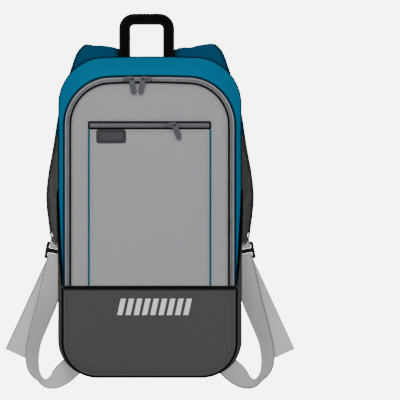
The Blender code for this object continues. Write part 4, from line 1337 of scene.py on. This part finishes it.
STRAP_WIDTH, STRAP_THICK, STRAP_TOP_Z = 0.061, 0.010, -0.033
STRAP_BOW, STRAP_SPLAY = 0.064, 0.1444
EAR_TILT = math.radians(7.5)
STRAP_STEPS = 8
STRAP_SEAM_SHARE = 17 / 30
STRAP_SEAM_ROW = round(STRAP_SEAM_SHARE * (len(STRAP_ROUTE) - 1) * STRAP_STEPS)
LOCK_CENTRE_X, LOCK_CENTRE_Z = 0.1262, -0.3155
LOCK_HALF_WIDTH, LOCK_HALF_HEIGHT, LOCK_THICK = 0.0195, 0.0121, 0.004
LOCK_BAR, LOCK_MIDDLE_BAR = 0.0042, 0.0066
LOCK_CENTRE_Y = (LOCK_LOW.y + LOCK_HIGH.y) / 2
LOCK_TILT = math.radians(10.5)
STRAP_TIP_BELOW_LOCK = 0.0049
STRAP_END_Z = LOCK_CENTRE_Z + LOCK_HALF_HEIGHT - STRAP_TIP_BELOW_LOCK
STRAP_DROP = STRAP_TOP_Z - STRAP_END_Z
WEBBING_WIDTH, WEBBING_THICK = 0.030, 0.0015
THREAD_OFFSET = LOCK_THICK / 2 + 0.0004 + WEBBING_THICK / 2
SLOT_REACH = 0.0005


def strap_stations(side):
    """Stations along one shoulder strap, from its anchor at the handle to its end at the lock."""
    handle_edge = (HANDLE_HIGH.x if side > 0 else HANDLE_LOW.x) + side * GAP
    rows = []
    for drop, bow, outer, width, thick, tilt in STRAP_ROUTE:
        outer_x = side * outer * STRAP_SPLAY
        inner_x = handle_edge if width == 0 else outer_x - side * width * STRAP_WIDTH
        rows.append((inner_x, outer_x, bow * STRAP_BOW, STRAP_TOP_Z - drop * STRAP_DROP,
                     thick * STRAP_THICK, tilt * EAR_TILT))
    rows = smooth_rows(rows, STRAP_STEPS)
    points = [Vector(((inner + outer) / 2, y, z)) for inner, outer, y, z, _, _ in rows]
    stations = []
    for row, point, tangent in zip(rows, points, tangents(points)):
        inner_x, outer_x, _, _, thick, tilt = row
        along = Vector((0, tangent.y, tangent.z)).normalized()
        across = Vector((side * math.cos(tilt), 0, math.sin(tilt)))
        through = across.cross(along).normalized()
        stations.append((point, across, through, abs(outer_x - inner_x) / 2 / math.cos(tilt), thick / 2))
    return stations


class BACKPACK_OT_straps(bpy.types.Operator):
    """Builds the padded shoulder straps: two cloths, bound edges, seams and stitch rows"""
    bl_idname = "backpack.straps"
    bl_label = "Shoulder straps"

    def execute(self, context):
        for side, word in ((-1, "left"), (1, "right")):
            stations = strap_stations(side)
            upper = stations[:STRAP_SEAM_ROW + 1]
            # The strap top takes the teal in painted shade.
            self.pad(f"Strap_top_{word}", upper, "strap", "strap_cloth")
            step = (stations[STRAP_SEAM_ROW + 1][0] - stations[STRAP_SEAM_ROW][0]).normalized() * GAP
            first = stations[STRAP_SEAM_ROW]
            lower = [(first[0] + step, *first[1:])] + stations[STRAP_SEAM_ROW + 1:]
            self.pad(f"Strap_pad_{word}", lower, "pad", "base_cloth")
            self.edges(word, stations)
            self.seam(word, stations)
        return {"FINISHED"}

    def seam(self, word, stations):
        """Tape sewn over the seam between the strap's two cloths."""
        over = [(centre, across, through, half + 0.0004, thick + 0.0010)
                for centre, across, through, half, thick in stations[STRAP_SEAM_ROW - 1:STRAP_SEAM_ROW + 2]]
        finished(loft(f"Strap_seam_{word}", over, "strap_edge", 4.0, 44), "strap_cloth")

    def pad(self, name, stations, finish, slot):
        made = loft(name, stations, finish, 4.0, 44)
        places = [(s[0], s[1], s[3]) for s in stations[:1] + stations[2:-2:4] + stations[-1:]]
        ends = (places[0], places[-1])

        def held(point):
            place = min(places, key=lambda s: (s[0] - point).length_squared)
            centre, across, half = place
            out = abs((point - centre).dot(across)) / half
            return 1.0 if out > 0.9 or place in ends else 0.0

        made = puffed(made, 0.0016, held)
        finished(made or made, slot, name.lower())

    def binding(self, name, stations, end, finish):
        """Tape folded round one edge of the strap."""
        grid = []
        for centre, across, through, half_width, half_thick in stations:
            row = []
            for angle in [math.radians(degrees) for degrees in evenly(-38, 38, 12)]:
                u = math.cos(angle) ** 0.5 * (half_width + 0.0004)
                v = math.copysign(abs(math.sin(angle)) ** 0.5, math.sin(angle)) * (half_thick + 0.0005)
                row.append(centre + across * (end * u) + through * v)
            grid.append(row)
        middle = stations[len(stations) // 3][0]
        return cloth_grid(name, grid, finish, middle, 0.0006)

    def edges(self, word, stations):
        # The top's binding is darker than its teal in painted shade.
        for part, run, finish, slot in (("top", stations[:STRAP_SEAM_ROW + 1], "strap_edge", "strap_cloth"),
                                        ("pad", stations[STRAP_SEAM_ROW + 1:-4], "pad_edge", "base_cloth")):
            bands = [self.binding(f"Strap_{part}_binding_{word}_{end + 1}", run, end, finish)
                     for end in (-1, 1)]
            finished(joined(f"Strap_{part}_binding_{word}", bands), slot)
        for face, face_word in ((-1, "inner"), (1, "outer")):
            rows = [[s[0] + s[1] * (end * (s[3] - 0.0052)) + s[2] * (face * (s[4] - 0.0001))
                     for s in stations[6:-10]] for end in (-1, 1)]
            stitched(f"Strap_stitches_{face_word}_{word}", rows, "dark_thread", "base_cloth", (0, 1, 0))


class BACKPACK_OT_back(bpy.types.Operator):
    """Builds the quilted back panel in air mesh, with its sewn channels"""
    bl_idname = "backpack.back"
    bl_label = "Back panel"

    CHANNELS = (-0.078, -0.028, 0.028, 0.078)
    BARS = (-0.135, -0.215, -0.295, -0.375)

    def groove(self, x, z):
        across = min(abs(x - line) for line in self.CHANNELS)
        up = min(abs(z - line) for line in self.BARS)
        return math.exp(-(across / 0.0045) ** 2) + 0.7 * math.exp(-(up / 0.004) ** 2)

    def execute(self, context):
        outline = closed_outline(body_section(0.0))
        middle_z = (BODY_TOP + BODY_BOTTOM) / 2
        grid = []
        for ring in evenly(0, 1, 56)[:-1]:
            share = 1 - ring ** 1.2
            row = []
            for x, z in outline:
                place = Vector((x * share, BACK_REAR_Y, between(middle_z, z, share)))
                edge = 0.0035 * max(0.0, 1 - (1 - share) / 0.05) ** 2
                sunk = 0.0026 * min(1.0, self.groove(place.x, place.z))
                row.append(place - Vector((0, edge + sunk, 0)))
            grid.append(row)
        hub = Vector((0, BACK_REAR_Y, middle_z))
        wall = BACK_REAR_Y - BACK_FRONT_Y - 0.0045
        made = cloth_grid("Back_panel", grid, "mesh", (0, -0.1, middle_z), wall, cyclic=True, hub=hub,
                          flat=True, relief=lambda p: 0.0005 * softness(p, 30.0, 4.0) - 0.0005)
        finished(made or made, "base_cloth", "back_panel")
        rows = [[Vector((x, BACK_REAR_Y - 0.0029, z))
                 for z in evenly(BODY_TOP - 0.02, BODY_BOTTOM + 0.02, 100)] for x in self.CHANNELS]
        stitched("Back_stitches", rows, "dark_thread", "base_cloth", (0, 1, 0))
        return {"FINISHED"}


def lock_frame(side):
    """A lock's centre, its direction across and its direction upward."""
    centre = Vector((side * LOCK_CENTRE_X, LOCK_CENTRE_Y, LOCK_CENTRE_Z))
    upward = Vector((-side * math.sin(LOCK_TILT), 0, math.cos(LOCK_TILT)))
    return centre, Vector((upward.z, 0, -upward.x)), upward


def u_turn(side, bar_height, direction, count=18):
    """Points of a band that turns round one bar of the lock, from its front to its back."""
    centre, _, upward = lock_frame(side)
    edge = bar_height + direction * LOCK_BAR / 2
    return [centre + upward * (edge + direction * (THREAD_OFFSET + SLOT_REACH) * math.sin(angle))
            + Vector((0, -THREAD_OFFSET * math.cos(angle), 0)) for angle in evenly(0, math.pi, count)]


LOOP_ROUTE = (  # out, down, back, turn
    (0.220, 0.149, 0.860, 5.0),
    (0.416, 0.324, 0.790, 20.0),
    (0.655, 0.485, 0.740, 35.0),
    (0.885, 0.643, 0.690, 48.0),
    (0.970, 0.738, 0.665, 51.0),
    (0.989, 0.821, 0.650, 54.0),
    (0.960, 0.885, 0.640, 58.0),
    (0.876, 0.936, 0.620, 66.0),
    (0.741, 0.976, 0.590, 74.0),
    (0.595, 0.999, 0.550, 76.0),
    (0.406, 1.002, 0.480, 58.0),
    (0.198, 0.988, 0.380, 38.0),
    (-0.039, 0.959, 0.240, 19.0),
    (-0.269, 0.919, 0.110, 5.0),
    (-0.502, 0.871, 0.000, 0.0),
    (-0.743, 0.821, 0.000, 0.0),
    (-0.998, 0.771, 0.000, 0.0),
)
TAIL_ROUTE = (  # out, down, back
    (1.000, 1.000, 1.00),
    (0.913, 0.910, 1.00),
    (0.711, 0.700, 0.96),
    (0.498, 0.480, 0.85),
    (0.295, 0.270, 0.66),
    (0.122, 0.090, 0.42),
)
WEBBING_SWING, WEBBING_DROP = 0.0380, 0.1670
TAIL_SWING, TAIL_DROP, TAIL_SET_BACK = 0.0616, 0.1292, 0.0135
TAB_FRONT_LENGTH, TAB_BACK_LENGTH, TAB_WIDTH = 0.0060, 0.0120, 0.030


class BACKPACK_OT_webbing(bpy.types.Operator):
    """Builds the ladder locks, the tabs that hold them and the webbing with its loops and free ends"""
    bl_idname = "backpack.webbing"
    bl_label = "Locks and webbing"

    def execute(self, context):
        for side, word in ((-1, "left"), (1, "right")):
            self.lock(side, word)
            self.tab(side, word)
            self.band(side, word)
        return {"FINISHED"}

    def lock(self, side, word):
        centre, across, upward = lock_frame(side)
        turn = (math.pi / 2, math.atan2(upward.x, upward.z), 0)
        body = rounded_box(LOCK_HALF_WIDTH, LOCK_HALF_HEIGHT, 0.0028, 8)
        slot_half = (LOCK_HALF_HEIGHT - LOCK_BAR - LOCK_MIDDLE_BAR / 2) / 2
        slot_z = LOCK_MIDDLE_BAR / 2 + slot_half
        holes = [list(reversed(rounded_box(LOCK_HALF_WIDTH - LOCK_BAR, slot_half, 0.0009, 4, (0, z))))
                 for z in (slot_z, -slot_z)]
        frame_plate = plate(f"Lock_{word}", [body] + holes, LOCK_THICK, "plastic", turn, centre, 0.0008)
        ribs = []
        for x in evenly(-LOCK_HALF_WIDTH * 0.72, LOCK_HALF_WIDTH * 0.72, 6):
            start, end = [centre + across * x - upward * reach + Vector((0, -LOCK_THICK / 2, 0))
                          for reach in (LOCK_HALF_HEIGHT - 0.0007, LOCK_HALF_HEIGHT - LOCK_BAR + 0.0008)]
            ribs.append([start, (start + end) / 2, end])
        grip = joined_tube(f"Lock_grip_{word}", ribs, 0.00045, "plastic")
        made = crisp(joined(f"Ladder_lock_{word}", [frame_plate, grip]), 35)
        finished(made, "buckle", f"ladder_lock_{word}")

    def tab(self, side, word):
        bar = LOCK_HALF_HEIGHT - LOCK_BAR / 2
        turn_points = u_turn(side, bar, -1)
        _, across, upward = lock_frame(side)
        points = [turn_points[0] + upward * (TAB_FRONT_LENGTH * (1 - k / 12)) for k in range(12)]
        points += turn_points
        points += [turn_points[-1] + upward * (TAB_BACK_LENGTH * k / 12) for k in range(1, 13)]
        stations = [(point, across, tangent.cross(across).normalized(), TAB_WIDTH / 2, WEBBING_THICK / 2)
                    for point, tangent in zip(points, tangents(points))]
        made = loft(f"Strap_tab_{word}", stations, "webbing", 8.0, 28)
        finished(made, "webbing", f"strap_tab_{word}")
        front = turn_points[0] + Vector((0, -WEBBING_THICK / 2 - 0.0001, 0))
        box = [(-0.40, 0.20), (0.40, 0.20), (0.40, 0.86), (-0.40, 0.86), (-0.40, 0.20)]
        knots = [front + across * (TAB_WIDTH * a) + upward * (TAB_FRONT_LENGTH * b) for a, b in box]
        rows = [evenly(a, b, 10) for a, b in zip(knots, knots[1:])]
        stitched(f"Tab_stitches_{word}", rows, "web_thread", "webbing")

    def band(self, side, word):
        bar = -(LOCK_HALF_HEIGHT - LOCK_BAR / 2)
        turn_points = u_turn(side, bar, 1)
        _, _, upward = lock_frame(side)
        past_bar = upward * (LOCK_BAR * 1.5)
        low_z = LOCK_CENTRE_Z - LOCK_HALF_HEIGHT
        back_y = LOCK_CENTRE_Y + THREAD_OFFSET
        tail = [(side * (LOCK_CENTRE_X + out * TAIL_SWING), back_y + back * TAIL_SET_BACK,
                 low_z - down * TAIL_DROP, 0.0) for out, down, back in TAIL_ROUTE]
        tail.append((*(turn_points[-1] - past_bar), 0.0))
        seat_y = BACK_REAR_Y + GAP + WEBBING_THICK / 2
        loop = [(*(turn_points[0] - past_bar), 0.0)]
        for out, down, back, turn in LOOP_ROUTE:
            loop.append((side * (LOCK_CENTRE_X + out * WEBBING_SWING), between(seat_y, LOCK_CENTRE_Y, back),
                         low_z - down * WEBBING_DROP, math.radians(turn) * side))
        rows = smooth_rows(tail, 9)
        rows += [(*point, 0.0) for point in reversed(turn_points)] + smooth_rows(loop, 9)
        points = [Vector((row[0], max(row[1], seat_y), row[2])) for row in rows]
        stations = []
        side_on = Vector((1, 0, 0))
        for point, tangent, row in zip(points, tangents(points), rows):
            square_on = Vector((tangent.z, 0, -tangent.x))
            if square_on.length > 0.3:
                side_on = square_on.normalized() * math.copysign(1, square_on.dot(side_on))
            normal = tangent.cross(side_on).normalized()
            across = side_on * math.cos(row[3]) + normal * math.sin(row[3])
            through = tangent.cross(across).normalized()
            stations.append((point, across, through, WEBBING_WIDTH / 2, WEBBING_THICK / 2))
        made = loft(f"Webbing_{word}", stations, "webbing", 8.0, 36,
                    lambda run, u, v: 0.00009 * math.sin(run * 2 * math.pi / 0.0032))
        finished(made, "webbing", f"webbing_{word}")
        self.hem(word, stations)

    def hem(self, word, stations):
        """Folded hem at the free end, with two rows of stitches across."""
        lengths = [0.0]
        for a, b in zip(stations, stations[1:]):
            lengths.append(lengths[-1] + (b[0] - a[0]).length)
        folded = []
        for station, length in zip(stations, lengths):
            if length < 0.012:
                centre, across, through, half, thick = station
                lift = through * (WEBBING_THICK * 1.02)
                folded.append((centre + lift, across, through, half * 0.995, thick))
        if len(folded) > 1:
            finished(loft(f"Webbing_hem_{word}", folded, "webbing", 8.0, 28), "webbing")
        rows = []
        for wanted in (0.0035, 0.0095):
            near = min(range(len(lengths)), key=lambda k: abs(lengths[k] - wanted))
            centre, across, through, half, thick = stations[near]
            for face in (1, -1):
                lift = through * (thick * (3.1 if face > 0 else -1.05))
                rows.append([centre + across * (half * out) + lift for out in evenly(-0.85, 0.85, 12)])
        stitched(f"Hem_stitches_{word}", rows, "web_thread", "webbing")


class BACKPACK_OT_print(bpy.types.Operator):
    """Builds the pale printed row of slanted bars on the base front"""
    bl_idname = "backpack.print"
    bl_label = "Printed bars"

    LEFT, RIGHT, BOTTOM, TOP = -0.0422, 0.0560, -0.4020, -0.3793
    COUNT, SLANT, FILL = 9, 0.0050, 0.62

    def execute(self, context):
        form = bmesh.new()
        pitch = (self.RIGHT - self.LEFT) / (self.COUNT - 1 + self.FILL)
        for k in range(self.COUNT):
            start, end = self.LEFT + pitch * k, self.LEFT + pitch * (k + self.FILL)
            rows = []
            for share in evenly(0, 1, 12):
                z = between(self.BOTTOM, self.TOP, share)
                lean = self.SLANT * (share - 0.5)
                rows.append([form.verts.new(front_point(x + lean, z, PANEL_FACE + 0.0011))
                             for x in evenly(start, end, 4)])
            for a, b in zip(rows, rows[1:]):
                for j in range(4):
                    form.faces.new((a[j], a[j + 1], b[j + 1], b[j]))
        made = painted(linked("Printed_bars", mesh_of(form, "Print")), FINISHES["print"])
        made.data.shade_smooth()
        finished(thickened(made, "ink", 0.0009), "base_cloth")
        return {"FINISHED"}


# Stage
CAMERA_X, CAMERA_Z = 0.0696, -0.2431
PLANE_Y = -0.07
VIEW_WIDTH = 0.554
LENS, SENSOR = 1500.0, 36.0
SKY_LIGHT, SKY_PATCH_LIGHT, SKY_PATCH = 0.62, 6.5, math.radians(4)
FLOOR_HALF_WIDTH, FLOOR_DROP = 3.0, 0.075


class BACKPACK_OT_stage(bpy.types.Operator):
    """Sets up the camera, the sky, the lamps and the floor"""
    bl_idname = "backpack.stage"
    bl_label = "Stage"

    def execute(self, context):
        scene = context.scene
        distance = VIEW_WIDTH * LENS / SENSOR
        camera = bpy.data.cameras.new("Camera")
        camera.lens, camera.sensor_width = LENS, SENSOR
        camera.clip_end = distance * 3
        view = linked("Camera", camera)
        view.location = (CAMERA_X, PLANE_Y - distance, CAMERA_Z)
        view.rotation_euler = (math.pi / 2, 0, 0)
        scene.camera = view
        self.sky(scene)
        self.lamp("Key", (-0.35, -2.3, 1.2), 0.9, 25.0)
        self.lamp("Fill", (0.45, -2.3, -0.3), 1.6, 10.0)
        self.lamp("Back", (0.0, 1.8, 0.8), 1.6, 8.0)
        self.floor()
        return {"FINISHED"}

    def sky(self, scene):
        """An even pale sky, with a white patch straight behind the bag."""
        world = bpy.data.worlds.new("Sky")
        world.use_nodes = True
        nodes, links = world.node_tree.nodes, world.node_tree.links
        towards = nodes.new("ShaderNodeTexCoord")
        parts = nodes.new("ShaderNodeSeparateXYZ")
        strength = nodes.new("ShaderNodeMapRange")
        links.new(towards.outputs["Generated"], parts.inputs["Vector"])
        links.new(parts.outputs["Y"], strength.inputs["Value"])
        for socket, value in (("From Min", math.cos(SKY_PATCH * 1.6)), ("From Max", math.cos(SKY_PATCH)),
                              ("To Min", SKY_LIGHT), ("To Max", SKY_PATCH_LIGHT)):
            strength.inputs[socket].default_value = value
        background = nodes["Background"]
        background.inputs["Color"].default_value = (1.0, 1.0, 1.0, 1.0)
        links.new(strength.outputs["Result"], background.inputs["Strength"])
        scene.world = world

    def lamp(self, name, place, size, power):
        light = bpy.data.lights.new(name, "AREA")
        light.size, light.energy = size, power
        lamp = linked(name, light)
        lamp.visible_camera = False
        lamp.location = place
        aim = Vector((0, PLANE_Y, CAMERA_Z)) - Vector(place)
        lamp.rotation_euler = aim.to_track_quat("-Z", "Y").to_euler()

    def floor(self):
        finish = Finish("Stage white")
        finish.set(Base_Color=(0.85, 0.85, 0.85), Roughness=0.9)
        form = bmesh.new()
        bmesh.ops.create_grid(form, x_segments=1, y_segments=1, size=FLOOR_HALF_WIDTH)
        bmesh.ops.translate(form, verts=form.verts, vec=(0, 0, BODY_BOTTOM - FLOOR_DROP))
        painted(linked("Floor", mesh_of(form, "Floor")), finish.material)


PIECES = (
    BACKPACK_OT_gusset, BACKPACK_OT_back, BACKPACK_OT_front, BACKPACK_OT_lower, BACKPACK_OT_trim,
    BACKPACK_OT_zips, BACKPACK_OT_pocket, BACKPACK_OT_sliders, BACKPACK_OT_handle, BACKPACK_OT_straps,
    BACKPACK_OT_webbing, BACKPACK_OT_print, BACKPACK_OT_stage,
)


class BACKPACK_PT_panel(bpy.types.Panel):
    """Lists the pieces of the backpack in the sidebar"""
    bl_idname = "BACKPACK_PT_panel"
    bl_label = "Cooler backpack"
    bl_space_type = "VIEW_3D"
    bl_region_type = "UI"
    bl_category = "Backpack"

    def draw(self, context):
        for piece in PIECES:
            self.layout.operator(piece.bl_idname)


CLASSES = (BackpackColours, BackpackSizes) + PIECES + (BACKPACK_PT_panel,)


def register():
    for kind in CLASSES:
        bpy.utils.register_class(kind)
    bpy.types.Scene.backpack_colours = PointerProperty(type=BackpackColours)
    bpy.types.Scene.backpack_sizes = PointerProperty(type=BackpackSizes)


def unregister():
    del bpy.types.Scene.backpack_sizes
    del bpy.types.Scene.backpack_colours
    for kind in reversed(CLASSES):
        bpy.utils.unregister_class(kind)


def main():
    register()
    make_finishes()
    for piece in PIECES:
        group, name = piece.bl_idname.split(".")
        if getattr(getattr(bpy.ops, group), name)() != {"FINISHED"}:
            raise RuntimeError(f"{piece.bl_label} wasn't finished")


if __name__ == "__main__":
    main()
